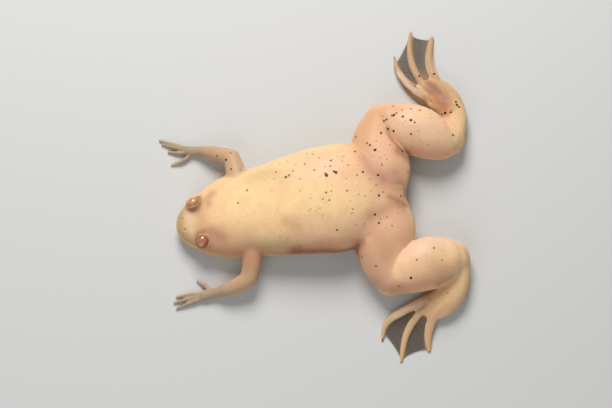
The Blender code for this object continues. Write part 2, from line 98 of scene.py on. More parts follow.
def sweptForm(rows, rings, spokes):
    # An oval carried along a smooth path: middle + cosine * half width * side + sine * half
    # height * rise, and past each end the oval shrinks as a half ball does
    rows = np.asarray(rows, float)
    knots = lengthsAlong(rows)
    startCap, endCap = rows[[0, -1], 3:].mean(axis=1)
    at = crowdedEnds(-startCap * sweep["capShare"], knots[-1] + endCap * sweep["capShare"], rings)
    held = np.clip(at, 0.0, knots[-1])
    there = curveThrough(held, knots, rows)
    ahead, behind = (
        curveThrough(np.clip(held + way, 0, knots[-1]), knots, rows)
        for way in (sweep["slopeStep"], -sweep["slopeStep"])
    )
    forward = unitOf((ahead - behind)[:, :3])
    side = unitOf(np.cross(up, forward))
    rise = np.cross(forward, side)
    past = at - held
    shrink = np.sqrt(1 - (past / np.where(past < 0, startCap, endCap)) ** 2)
    angles = turnsOf(spokes)
    middle = there[:, :3] + past[:, None] * forward
    across = (there[:, 3] * shrink)[:, None] * np.cos(angles)
    height = (there[:, 4] * shrink)[:, None] * np.sin(angles)
    return middle[:, None] + across[..., None] * side[:, None] + height[..., None] * rise[:, None]


def ballForm(centre, radii, rings=28, spokes=32, poleGap=0.02):
    # A sphere by latitude and longitude, stretched by the three radii
    latitude = np.linspace(-pi / 2 + poleGap, pi / 2 - poleGap, rings)[:, None]
    longitude = turnsOf(spokes)[None]
    wide, tall = np.cos(latitude), np.sin(latitude)
    unit = (wide * np.cos(longitude), wide * np.sin(longitude), tall + 0 * longitude)
    return np.array(centre) + np.stack(unit, axis=-1) * np.array(radii)


def closedFaces(rings, spokes):
    # Quads between neighbouring rings, and a fan of triangles to one point at each end
    here = np.arange(rings * spokes).reshape(rings, spokes)
    beside = np.roll(here, -1, axis=1)
    walls = np.stack((here[:-1], beside[:-1], beside[1:], here[1:]), axis=-1).reshape(-1, 4)
    end = np.full(spokes, rings * spokes)
    first = np.stack((end, beside[0], here[0]), axis=1)
    final = np.stack((end + 1, here[-1], beside[-1]), axis=1)
    return walls.tolist() + first.tolist() + final.tolist()


def meshOf(name, points, faces):
    mesh = bpy.data.meshes.new(name)
    mesh.from_pydata((points * mm).tolist(), [], faces)
    mesh.update()
    mesh.shade_smooth()
    piece = bpy.data.objects.new(name, mesh)
    bpy.context.scene.collection.objects.link(piece)
    return piece


def closedMesh(name, forms):
    points, faces = [], []
    start = 0
    for form in forms:
        rings, spokes = form.shape[:2]
        points += [form.reshape(-1, 3), form[0].mean(axis=0)[None], form[-1].mean(axis=0)[None]]
        faces += [[corner + start for corner in face] for face in closedFaces(rings, spokes)]
        start += rings * spokes + 2
    return meshOf(name, np.concatenate(points), faces)


def appliedMesh(piece):
    graph = bpy.context.evaluated_depsgraph_get()
    mesh = bpy.data.meshes.new_from_object(piece.evaluated_get(graph))
    piece.modifiers.clear()
    piece.data = mesh
    return piece


def readBack(data, name, width, kind=np.float32):
    # The values of all points or edges in one array
    values = np.empty(len(data) * width, kind)
    data.foreach_get(name, values)
    return values.reshape(-1, width)


def pointsOf(mesh):
    return readBack(mesh.vertices, "co", 3).astype(float) / mm


def normalsOf(mesh):
    return readBack(mesh.vertex_normals, "vector", 3).astype(float)


def edgesOf(mesh):
    return readBack(mesh.edges, "vertices", 2, np.int32)


def putPoints(mesh, points):
    mesh.vertices.foreach_set("co", (points * mm).astype(np.float32).ravel())
    mesh.update()


def neighbourMean(values, edges):
    # The mean of a value over the points that share an edge with each point
    first, second = edges.T
    count = len(values)
    total = [
        np.bincount(first, column[second], count) + np.bincount(second, column[first], count)
        for column in values.T
    ]
    return np.stack(total, axis=1) / np.bincount(edges.ravel(), minlength=count)[:, None]


def relaxed(points, edges, softness, rounds):
    # Again and again, each point moves its softness's share of the way to its neighbours' mean
    for _ in range(rounds):
        points = points + softness[:, None] * (neighbourMean(points, edges) - points)
    return points


def squaresTo(points, places):
    # Squared distance of each point to each place: |p|^2 + |q|^2 - 2 p.q
    points, places = points.astype(np.float32), np.asarray(places, np.float32)
    squares = (points**2).sum(axis=1)[:, None] + (places**2).sum(axis=1)[None]
    return np.maximum(squares - 2 * points @ places.T, 0)


def alongLine(rows, samples):
    # Places at even steps along the smooth line through the rows
    rows = np.asarray(rows, float)
    knots = lengthsAlong(rows)
    return curveThrough(np.linspace(0, knots[-1], samples), knots, rows)


def farFrom(points, line, samples=60):
    # Distance to the nearest of many places on the line
    return np.sqrt(squaresTo(points, alongLine(line, samples)).min(axis=1))


def limbDepth(points, rows, samples=40):
    # Distance to the limb's middle over its radius there: about 1 on its own skin
    there = alongLine(rows, samples)
    return (np.sqrt(squaresTo(points, there[:, :3])) / there[:, 3:].mean(axis=1)).min(axis=1)


trunk = {
    # x, y of the midline, half width, top height, bottom height, from snout to vent
    "rows": (
        (-39, -9, 0, 3.7, 3.7), (-37.7, -8.8, 3.9, 6, 2.3), (-35.2, -8.5, 6.8, 7.5, 1.4),
        (-32, -8, 9, 8.7, 0.9), (-28, -7.2, 11.5, 10.1, 0.5), (-22, -6.4, 13.4, 11.9, 0.1),
        (-14, -5.2, 14.3, 13.8, -0.2), (-5, -3.4, 15.7, 15.6, -0.4), (5, -1.8, 17, 17, -0.4),
        (15, -0.9, 17, 17.2, -0.2), (22.5, -0.5, 13.6, 15.6, 0.6), (28.5, -0.3, 8, 12.9, 2.2),
        (32.3, -0.3, 0, 9, 9),
    ),
    "widestAt": 0.42,  # share of the height
    "backPower": 2.15, "bellyPower": 2.7, "endGap": 0.02, "rings": 150, "spokes": 130,
}


def trunkPoints(x, angles):
    # At each x an oval: across and up are powers of cosine and sine, with one height above the
    # widest level and one below
    rows = np.array(trunk["rows"])
    knots = rows[:, 0]
    widest = rows[:, 4] + trunk["widestAt"] * (rows[:, 3] - rows[:, 4])
    middle = curveThrough(x, knots, np.stack((rows[:, 1], widest), axis=1))
    squares = np.stack((rows[:, 2], rows[:, 3] - widest, widest - rows[:, 4]), axis=1) ** 2
    sizes = np.sqrt(np.maximum(curveThrough(x, knots, squares), 0.0))
    cosine, sine = np.cos(angles), np.sin(angles)
    power = 2 / np.where(sine >= 0, trunk["backPower"], trunk["bellyPower"])
    across = sizes[:, :1] * np.sign(cosine) * np.abs(cosine) ** power
    rise = np.sign(sine) * np.abs(sine) ** power
    height = np.where(sine >= 0, sizes[:, 1:2] * rise, sizes[:, 2:] * rise)
    along = np.broadcast_to(x[:, None], across.shape)
    return np.stack((along, middle[:, :1] + across, middle[:, 1:] + height), axis=-1)


def trunkForm():
    snout, vent = trunk["rows"][0][0] + trunk["endGap"], trunk["rows"][-1][0] - trunk["endGap"]
    return trunkPoints(crowdedEnds(snout, vent, trunk["rings"]), turnsOf(trunk["spokes"]))


rightSide = {
    # x, y, z of the middle, half width, half height, from the root to the end
    "upperArm": (
        (-19.6, 1, 6.9, 3.4, 3.2), (-20.3, 7.2, 6.3, 3.2, 3), (-21.7, 12.7, 4.9, 2.7, 2.6),
    ),
    "forearm": (
        (-22, 12.9, 4.8, 2.6, 2.5), (-28, 14.6, 3.2, 2.3, 2.1), (-32.8, 15.7, 1.7, 1.6, 1.3),
        (-35.6, 15.9, 1.3, 1.6, 1.1),
    ),
    "thigh": (
        (25.8, -1, 7.8, 7.2, 6.6), (25.2, 8, 7.1, 9.8, 7.2), (24.3, 15.5, 6.6, 8.5, 6.6),
        (24.5, 20.6, 5.8, 7, 5.7), (25.4, 24.6, 5.3, 5.2, 5),
    ),
    "shank": (
        (28.8, 24.3, 6.1, 6, 5.8), (32.6, 22.5, 6.8, 7.6, 6.8), (37.4, 20.7, 6.85, 8.1, 6.9),
        (42.6, 18.9, 6.1, 7.3, 6.1), (45, 18.7, 5.4, 6.8, 5.5), (47.2, 19.2, 4.7, 5.9, 4.6),
    ),
    "tarsus": (
        (48.7, 21, 4.2, 4, 3.8), (48.9, 26.5, 3.4, 4.2, 3.3), (47.3, 30.8, 3, 4.7, 2.9),
        (44.6, 33.9, 2.5, 5.1, 2.3), (41.4, 36, 2, 4.5, 1.7),
    ),
    "fingers": (
        ((-34.6, 14.9, 1.2), (-37.3, 12.6, 0.9), (-40.9, 11.4, 0.35)),
        ((-35.4, 15.4, 1.2), (-38.4, 15.2, 0.9), (-42, 15.6, 0.35)),
        ((-35.7, 16, 1.2), (-39.9, 17, 0.9), (-44, 18.1, 0.35)),
        ((-35.5, 16.5, 1.2), (-40.2, 17.9, 0.9), (-44.8, 19.4, 0.35)),
    ),
    "toes": (
        ((43.5, 29.7, 2), (40.7, 31.6, 1.5), (38.1, 33.4, 1), (36.1, 35, 0.5)),
        ((43.5, 30.7, 2.2), (39.7, 32.6, 1.8), (36.4, 34.9, 1.4), (33.9, 37.4, 1),
        (32.4, 39.8, 0.5)),
        ((43.5, 31.6, 2.6), (40, 33.6, 2.6), (37.1, 35.6, 2.4), (34.4, 38.2, 2), (32.3, 41, 1.6),
        (31, 43.8, 1), (30.6, 46, 0.5)),
        ((43.8, 33, 2.6), (40.7, 35.8, 2.4), (38.2, 39.1, 2), (36.5, 43.1, 1.5), (35.5, 47.3, 1),
        (35.3, 51.4, 0.7), (35.8, 55.7, 0.36)),
        ((45.8, 34.4, 2.6), (44.2, 37.8, 2.4), (42.7, 40.9, 2), (41.7, 44.4, 1.5), (41.6, 48.3, 1),
        (42.6, 53.9, 0.36)),
    ),
    "ankle": (46.7, 18.5, 4.5),
    "eye": (-33.4, -3.2, 7.5),
    "gaze": (-0.3, 0.52, 0.8),
    "iris": 1.3,
    "eyeShade": 0.0,
    "toePaint": "husk",
}
leftSide = {
    "upperArm": (
        (-14.5, -13, 6.9, 3.3, 3.1), (-14.8, -20.3, 6.2, 3.1, 2.9), (-15.9, -26.4, 4.8, 2.8, 2.6),
    ),
    "forearm": (
        (-16.3, -26.9, 4.7, 2.7, 2.5), (-22.1, -29.4, 3.2, 2.3, 2.1), (-27, -30.4, 1.7, 1.6, 1.3),
        (-30.2, -31.2, 1.3, 1.7, 1.1),
    ),
    "thigh": (
        (25.8, -1, 7.8, 7.2, 6.6), (26.3, -10, 7.1, 9.9, 7.2), (25.9, -17.2, 6.6, 8.6, 6.6),
        (26.9, -22.8, 5.8, 7.1, 5.7), (28.3, -27, 5.3, 5.2, 5),
    ),
    "shank": (
        (34.8, -23.8, 6.7, 7.7, 6.6), (37.8, -22.8, 6.9, 8.2, 6.9), (41, -21.8, 6.8, 8.3, 6.8),
        (44.2, -21, 6.2, 7.6, 6.1), (46.6, -20.2, 5.5, 6.8, 5.5), (48.4, -19.7, 4.6, 5.7, 4.4),
    ),
    "tarsus": (
        (49.5, -21.4, 4.2, 4, 3.8), (49.3, -26.7, 3.4, 3.9, 3.3), (47.4, -31, 3, 4.3, 2.9),
        (44, -33.8, 2.5, 4.6, 2.3), (40.6, -35.4, 2, 4.2, 1.7),
    ),
    "fingers": (
        ((-27.7, -30, 1.2), (-29.8, -28, 0.9), (-32.2, -26.5, 0.35)),
        ((-30, -30.6, 1.2), (-34.5, -30.8, 0.9), (-38.6, -31.5, 0.35)),
        ((-30.4, -31.3, 1.2), (-34.8, -32.1, 0.9), (-39.3, -33.4, 0.35)),
        ((-30.2, -31.9, 1.2), (-34.4, -33.4, 0.9), (-38.5, -35.2, 0.35)),
    ),
    "toes": (
        ((42.9, -29.9, 2), (40.7, -30.6, 1.5), (37.9, -31.7, 1), (35.6, -33, 0.5)),
        ((43.6, -30.4, 2.2), (39.4, -31.8, 1.8), (35.1, -33.8, 1.4), (31.8, -35.6, 1),
        (29.4, -37.6, 0.5)),
        ((43.8, -31.2, 2.6), (39.7, -32.9, 2.6), (35.6, -34.7, 2.4), (31.7, -36.6, 2),
        (28.5, -38.6, 1.6), (26.4, -41.2, 1), (25.9, -44, 0.5)),
        ((44.1, -32.2, 2.6), (40.9, -34.1, 2.4), (37.8, -36.5, 2), (35.1, -39.8, 1.5),
        (33.1, -43.7, 1.1), (32.1, -47.7, 0.7), (31.5, -51.8, 0.36)),
        ((45.6, -33.8, 2.6), (43.4, -35.8, 2.4), (41.4, -38.6, 2), (40.2, -42.2, 1.4),
        (39.9, -45.5, 0.8), (40.2, -48.3, 0.36)),
    ),
    "ankle": (48.7, -20.9, 4.5),
    "eye": (-30.3, -15.0, 7.7),
    "gaze": (-0.12, -0.4, 0.91),
    "iris": 1.08,
    "eyeShade": 0.7,
    "toePaint": "sand",
}
sides = {"Right": rightSide, "Left": leftSide}

skin = {
    "bodyVoxel": 0.5, "voxel": 0.22, "triangles": 150000,
    "limbGrid": (60, 56), "toeGrid": (60, 24), "fingerGrid": (40, 20),  # rings and spokes
    "fingerRadii": (0.66, 0.62, 0.4),
    "toeRoots": (0.9, 1.1, 1.6, 1.35, 1.6), "toeTips": (0.4, 0.45, 0.55, 0.52, 0.72),
    "toeFlat": 0.6, "kneeFit": (1, 1, 1, 0.92, 0.95), "ankle": 4.65, "ankleLift": 0.1,
    "vent": ((31.6, -0.3, 9.0), (1.8, 1.6, 1.4)),
    "eyeMound": {"radius": 3.0, "back": 0.4, "drop": 1.1},
    # In one round a point goes the softness's share of the way to its neighbours
    "softness": 0.5, "digitSoftness": 0.05,
    "rounds": 26, "hipRounds": 70, "ankleRounds": 60, "forkRounds": 40,
    "hipLine": ((20.0, 0.62), (28.0, 0.4)), "hipHeight": 9.0,  # x, and y as a share of the thigh's
    # Distances at which each of these begins and is full
    "hipReach": (11.0, 4.0), "ankleReach": (7.2, 4.2), "forkReach": (3.8, 2.6),
    "handReach": (2.6, 1.6), "digitReach": (2.4, 1.4), "foldReach": (3.5, 6.5), "foldWidth": 0.25,
}


def toeRows(number, path):
    # The half width falls with the cube of the length: broad, and narrow only near the tip
    root, tip = skin["toeRoots"][number], skin["toeTips"][number]
    share = lengthsAlong(path) / lengthsAlong(path)[-1]
    radii = root + (tip - root) * share**3
    return [(*point, radius, radius * skin["toeFlat"]) for point, radius in zip(path, radii)]


def fingerRows(path):
    return [(*point, radius, radius) for point, radius in zip(path, skin["fingerRadii"])]


def kneeRows(limbs):
    # The thigh's end, the shank's start and the mean of the two between them
    thigh, shank = np.array(limbs["thigh"][-1]), np.array(limbs["shank"][0])
    return np.array([thigh, (thigh + shank) / 2, shank * skin["kneeFit"]])


def bodyForms():
    forms = [trunkForm(), ballForm(*skin["vent"])]
    for limbs in sides.values():
        for limb in ("upperArm", "forearm", "thigh"):
            forms.append(sweptForm(limbs[limb], *skin["limbGrid"]))
    return forms


def detailForms():
    forms = []
    mound = skin["eyeMound"]
    for limbs in sides.values():
        x, y, z = limbs["eye"]
        centre = (x + mound["back"], y, z - mound["drop"])
        forms.append(ballForm(centre, (mound["radius"],) * 3))
        for rows in (kneeRows(limbs), limbs["shank"], limbs["tarsus"]):
            forms.append(sweptForm(rows, *skin["limbGrid"]))
        height = limbs["ankle"][2] - skin["ankleLift"]
        forms.append(ballForm(limbs["ankle"], (skin["ankle"], skin["ankle"], height)))
        for path in limbs["fingers"]:
            forms.append(sweptForm(fingerRows(path), *skin["fingerGrid"]))
        for number, path in enumerate(limbs["toes"]):
            forms.append(sweptForm(toeRows(number, path), *skin["toeGrid"]))
    return forms


def melt(piece, voxel):
    remesh = piece.modifiers.new("melt", "REMESH")
    remesh.mode = "VOXEL"
    remesh.voxel_size = voxel * mm
    return appliedMesh(piece)


def meltedBody():
    # Trunk, arms and thighs in one: the skin is drawn tight across the groins and round the vent
    piece = melt(closedMesh("frogSkin", bodyForms()), skin["bodyVoxel"])
    points, edges = pointsOf(piece.data), edgesOf(piece.data)
    hips = np.zeros(len(points))
    for limbs in sides.values():
        wide = limbs["thigh"][1][1]
        line = [(x, share * wide, skin["hipHeight"]) for x, share in skin["hipLine"]]
        hips = np.maximum(hips, smoothStep(*skin["hipReach"], farFrom(points, line)))
    putPoints(piece.data, relaxed(points, edges, skin["softness"] * hips, skin["hipRounds"]))
    return piece


def softnessAt(points):
    # Soft on the body, firm on fingers and toes and in the fold between thigh and shank
    firm = np.zeros(len(points))
    for limbs in sides.values():
        hand = (limbs["forearm"][-1][:3], limbs["fingers"][2][-1])
        firm = np.maximum(firm, smoothStep(*skin["handReach"], farFrom(points, hand)))
        for path in limbs["fingers"] + limbs["toes"]:
            firm = np.maximum(firm, smoothStep(*skin["digitReach"], farFrom(points, path)))
        thigh, shank = limbDepth(points, limbs["thigh"]), limbDepth(points, limbs["shank"])
        knee = (np.array(limbs["thigh"][-1][:3]) + limbs["shank"][0][:3]) / 2
        fold = hill(thigh - 1, skin["foldWidth"]) * hill(shank - 1, skin["foldWidth"])
        firm = np.maximum(firm, fold * smoothStep(*skin["foldReach"], lengthsOf(points - knee)))
    return skin["softness"] + (skin["digitSoftness"] - skin["softness"]) * firm


def forksOf(points, toes):
    # Where two of the long toes come together: near to both of their lines
    away = [farFrom(points, path) for path in toes[2:]]
    between = [np.maximum(first, second) for first, second in zip(away, away[1:])]
    return smoothStep(*skin["forkReach"], np.minimum(*between))


def joined(piece, other):
    # Both meshes in the first piece
    cage = bmesh.new()
    cage.from_mesh(piece.data)
    cage.from_mesh(other.data)
    cage.to_mesh(piece.data)
    cage.free()
    bpy.data.objects.remove(other)
    return piece


view = {
    "place": (1.886, -160.04, 636.69), "tilt": 14.0, "lens": 121.7, "sensor": 36.0,
    "clip": (0.05, 10), "picture": (612, 408),
}


def pixelRay(pixel):
    # The camera's own line through one picture point
    width, height = view["picture"]
    pitch = view["sensor"] / width
    tilt, lens = radians(view["tilt"]), view["lens"]
    across, rise = (pixel[0] - width / 2) * pitch, (height / 2 - pixel[1]) * pitch
    forward, down = rise * cos(tilt) + lens * sin(tilt), rise * sin(tilt) - lens * cos(tilt)
    return Vector(view["place"]) * mm, Vector((across, forward, down)).normalized()


def onSkin(piece, pixels):
    # Where the lines through these picture points, x and y of each, meet the skin
    bpy.context.view_layer.update()
    hits = [piece.ray_cast(*pixelRay(pixel)) for pixel in np.reshape(pixels, (-1, 2))]
    return np.array([tuple(place) for found, place, _, _ in hits if found]).reshape(-1, 3) / mm


# Folds of the skin by picture point: depth, width, then x and y of each point of a line
folds = (
    (0.25, 0.9, 355, 250, 359, 245, 364, 240, 368, 236),
    (0.15, 0.7, 349, 142, 355, 147, 362, 152),
    (0.24, 0.9, 389, 197, 394, 199, 399, 202, 405, 205),
    (0.2, 0.9, 384, 179, 389, 183, 398, 184, 405, 185),
    (0.12, 1.0, 380, 166, 384, 176, 386, 186),
    (0.16, 0.5, 441, 118, 447, 115, 453, 111),
    (0.16, 0.5, 447, 282, 452, 279, 456, 274),
    (0.22, 2.2, 209, 203, 215, 206),
    (0.22, 2.4, 213, 232, 222, 236),
)
tendon = {
    "height": 0.2, "width": 0.9, "heelHeight": 2.5, "lowest": 1.5,
    "fadeIn": (2.5, 8), "fadeOut": (9.0, 6.0),  # from the heel, and from the root of the toe
}


def footRidge(points, limbs, path):
    # A bone seen through the back of the foot: from the heel into one toe, fading into the toe
    heel = np.array(limbs["tarsus"][1][:3]) + (0, 0, tendon["heelHeight"])
    line = np.array([heel, (np.array(path[0]) + heel) / 2, *path[:3]])
    flat = farFrom(points * (1, 1, 0), line * (1, 1, 0))
    fade = smoothStep(*tendon["fadeIn"], lengthsOf(points - heel))
    fade *= smoothStep(*tendon["fadeOut"], lengthsOf(points - path[0]))
    return hill(flat, tendon["width"]) * fade * (points[:, 2] > tendon["lowest"])


mouth = {
    "corner": -27.5, "angle": -0.32, "depth": 0.4, "width": 0.24, "fade": (0.8, -1.5),
    "lip": 0.1, "lipPlace": 0.75, "lipWidth": 0.4, "samples": 60, "reach": 2,
}


def mouthPush(points):
    # A groove along the jaw with a lip above and a lip below
    snout, corner = trunk["rows"][0][0], mouth["corner"]
    x = snout + trunk["endGap"] + (corner - snout) * np.linspace(0, 1, mouth["samples"]) ** 2
    jaw = trunkPoints(x, np.array([mouth["angle"], pi - mouth["angle"]]))
    line = np.concatenate((jaw[::-1, 0], jaw[1:, 1]))
    push = np.zeros(len(points))
    near = np.flatnonzero(points[:, 0] < corner + mouth["reach"])
    away = np.sqrt(squaresTo(points[near], line).min(axis=1))
    fade = smoothStep(corner + mouth["fade"][0], corner + mouth["fade"][1], points[near, 0])
    lip = mouth["lip"] * hill(away - mouth["lipPlace"], mouth["lipWidth"])
    push[near] = fade * (lip - mouth["depth"] * hill(away, mouth["width"]))
    return push


stitches = {
    "start": -24.0, "end": 22.0, "step": 2.3, "angle": 0.42, "swing": 0.05,
    "swingTurn": 0.5, "height": 0.07, "width": 0.28, "length": 0.8, "reach": 2.0,
}


def stitchPlaces():
    # Sense organs in a dotted line along each flank, as the angle round the trunk swings gently
    x = np.arange(stitches["start"], stitches["end"], stitches["step"])
    angles = stitches["angle"] + stitches["swing"] * np.sin(x * stitches["swingTurn"])
    both = np.array((angles, pi - angles)).T
    return np.concatenate([trunkPoints(x[i : i + 1], both[i])[0] for i in range(len(x))])


def stitchPush(points):
    # Each stitch is a low ridge, longer up and down the flank than along it
    push = np.zeros(len(points))
    for place in stitchPlaces():
        offset = points - place
        near = np.flatnonzero(np.abs(offset).max(axis=1) < stitches["reach"])
        along = offset[near, 0] / stitches["width"]
        across = lengthsOf(offset[near][:, 1:]) / stitches["length"]
        push[near] += stitches["height"] * np.exp(-(along**2) - across**4)
    return push


nostrils = {
    "pixels": ((182, 219), (184.5, 230)), "radius": 0.3, "depth": 0.4, "stretch": (1.0, 1.4, 1.0),
    "rim": 0.05, "rimPlace": 1.9, "rimWidth": 0.25,  # the place in radii
}


def nostrilPush(points, place):
    # A pit with a raised ring round it
    away = lengthsOf((points - place) / nostrils["stretch"])
    ring = hill(away - nostrils["radius"] * nostrils["rimPlace"], nostrils["rimWidth"])
    return nostrils["rim"] * ring - nostrils["depth"] * hill(away, nostrils["radius"])


def shapeSkin(piece):
    # Every detail moves the skin along its normal: ridges up, grooves down, each a bell curve of
    # the distance to its line
    mesh = piece.data
    points, normals = pointsOf(mesh), normalsOf(mesh)
    push = np.zeros(len(points))
    for depth, width, *pixels in folds:
        push -= depth * hill(farFrom(points, onSkin(piece, pixels)), width)
    for limbs in sides.values():
        for path in limbs["toes"][2:]:
            push += tendon["height"] * footRidge(points, limbs, path)
    for pixel in nostrils["pixels"]:
        push += nostrilPush(points, onSkin(piece, pixel))
    push += mouthPush(points)
    push += stitchPush(points)
    points = points + normals * push[:, None]
    points[:, 2] = np.maximum(points[:, 2], 0.0)
    putPoints(mesh, points)


eyeball = {
    "radius": 2.15, "bulge": 0.1, "bulgeWidth": 38, "rings": 90, "spokes": 96, "poleGap": 0.01,
    # The lid: the skin's opening by degrees from the gaze, and more degrees from there
    "opening": 68, "lidStart": -13, "lidTop": 5, "lidEnd": 38, "lid": 0.14, "lidFall": 0.8,
    # The last value on the next line is how far the painted shade on the lids reaches from the
    # eyeball
    "skinUnder": 0.5, "skinReach": 2.5, "lidShadeWidth": 0.42,
    "finer": (3.5, 2.9),  # the skin's edges are halved within these distances
    # A painted glint of warm light on each eyeball, on the side away from the light: its way, share
    # and width
    "glow": (-0.24, -0.78, 0.58), "glowShare": 0.95, "glowWidth": 13, "rayStretch": 0.25,
}


def finerRound(piece, centres, reach):
    # Halve the edges near these places
    cage = bmesh.new()
    cage.from_mesh(piece.data)
    middles = [Vector(centre) * mm for centre in centres]
    edges = [
        edge for edge in cage.edges
        if any((edge.verts[0].co - middle).length < reach * mm for middle in middles)
    ]
    made = bmesh.ops.subdivide_edges(cage, edges=edges, cuts=1, use_grid_fill=True)["geom"]
    faces = [part for part in made if isinstance(part, bmesh.types.BMFace) and len(part.verts) > 3]
    bmesh.ops.triangulate(cage, faces=faces)
    bmesh.ops.triangulate(cage, faces=[face for face in cage.faces if len(face.verts) > 4])
    cage.to_mesh(piece.data)
    cage.free()


def openedEye(points, centre, gaze):
    # By angle from the gaze: inside the opening the skin lies under the eyeball, it rises through
    # the eyeball's surface at the opening, stands proud as a lid and falls back to the head
    offset = points - centre
    reach = lengthsOf(offset)
    radius, opening = eyeball["radius"], eyeball["opening"]
    near = reach < radius + eyeball["skinReach"]
    away = offset[near] @ gaze / np.maximum(reach[near], 1e-9)
    angle = np.degrees(np.arccos(np.clip(away, -1, 1)))
    start, top, end = (opening + eyeball[name] for name in ("lidStart", "lidTop", "lidEnd"))
    proud = radius + eyeball["lid"] * (1 - smoothStep(top, end, angle) * eyeball["lidFall"])
    outside = np.maximum(reach[near], proud)
    under = radius - eyeball["skinUnder"]
    wanted = under + smoothStep(start, top, angle) * (outside - under)
    points = points.copy()
    points[near] = centre + offset[near] / reach[near, None] * wanted[:, None]
    return points


def makeSkin():
    piece = melt(joined(meltedBody(), closedMesh("details", detailForms())), skin["voxel"])
    points, edges = pointsOf(piece.data), edgesOf(piece.data)
    points = relaxed(points, edges, softnessAt(points), skin["rounds"])
    for limbs in sides.values():
        ankle = smoothStep(*skin["ankleReach"], lengthsOf(points - limbs["ankle"]))
        points = relaxed(points, edges, skin["softness"] * ankle, skin["ankleRounds"])
        fork = forksOf(points, limbs["toes"])
        points = relaxed(points, edges, skin["softness"] * fork, skin["forkRounds"])
    putPoints(piece.data, points)
    shapeSkin(piece)
    thin = piece.modifiers.new("thinOut", "DECIMATE")
    print("melted:", len(piece.data.polygons), "faces")
    thin.ratio = min(1.0, skin["triangles"] / (2 * len(piece.data.polygons)))
    appliedMesh(piece)
    for reach in eyeball["finer"]:
        finerRound(piece, [limbs["eye"] for limbs in sides.values()], reach)
    points = pointsOf(piece.data)
    for limbs in sides.values():
        points = openedEye(points, np.array(limbs["eye"]), unitOf(limbs["gaze"]))
    putPoints(piece.data, points)
    piece.data.shade_smooth()
    return piece


paints = {  # as seen on the animal, from 0 to 255
    "butter": (252, 218, 164), "cream": (246, 204, 154), "blush": (240, 194, 157),
    "peach": (230, 180, 147), "rose": (222, 156, 124), "mauve": (192, 140, 116),
    # The rust-brown paint is painted shade: in creases, hollows, gaps and on the flank away from
    # the light
    "fawn": (212, 168, 124), "tan": (194, 140, 96), "rustShade": (132, 58, 36), "umber": (116, 72, 44),
    "moss": (178, 168, 118), "sage": (178, 154, 108), "smoke": (146, 134, 116),
    "slate": (106, 96, 84), "mist": (158, 146, 126), "pearl": (234, 208, 186),
    "belly": (240, 216, 176), "dove": (180, 146, 120), "sand": (206, 174, 134),
    "husk": (170, 143, 111), "soot": (30, 12, 10),
}
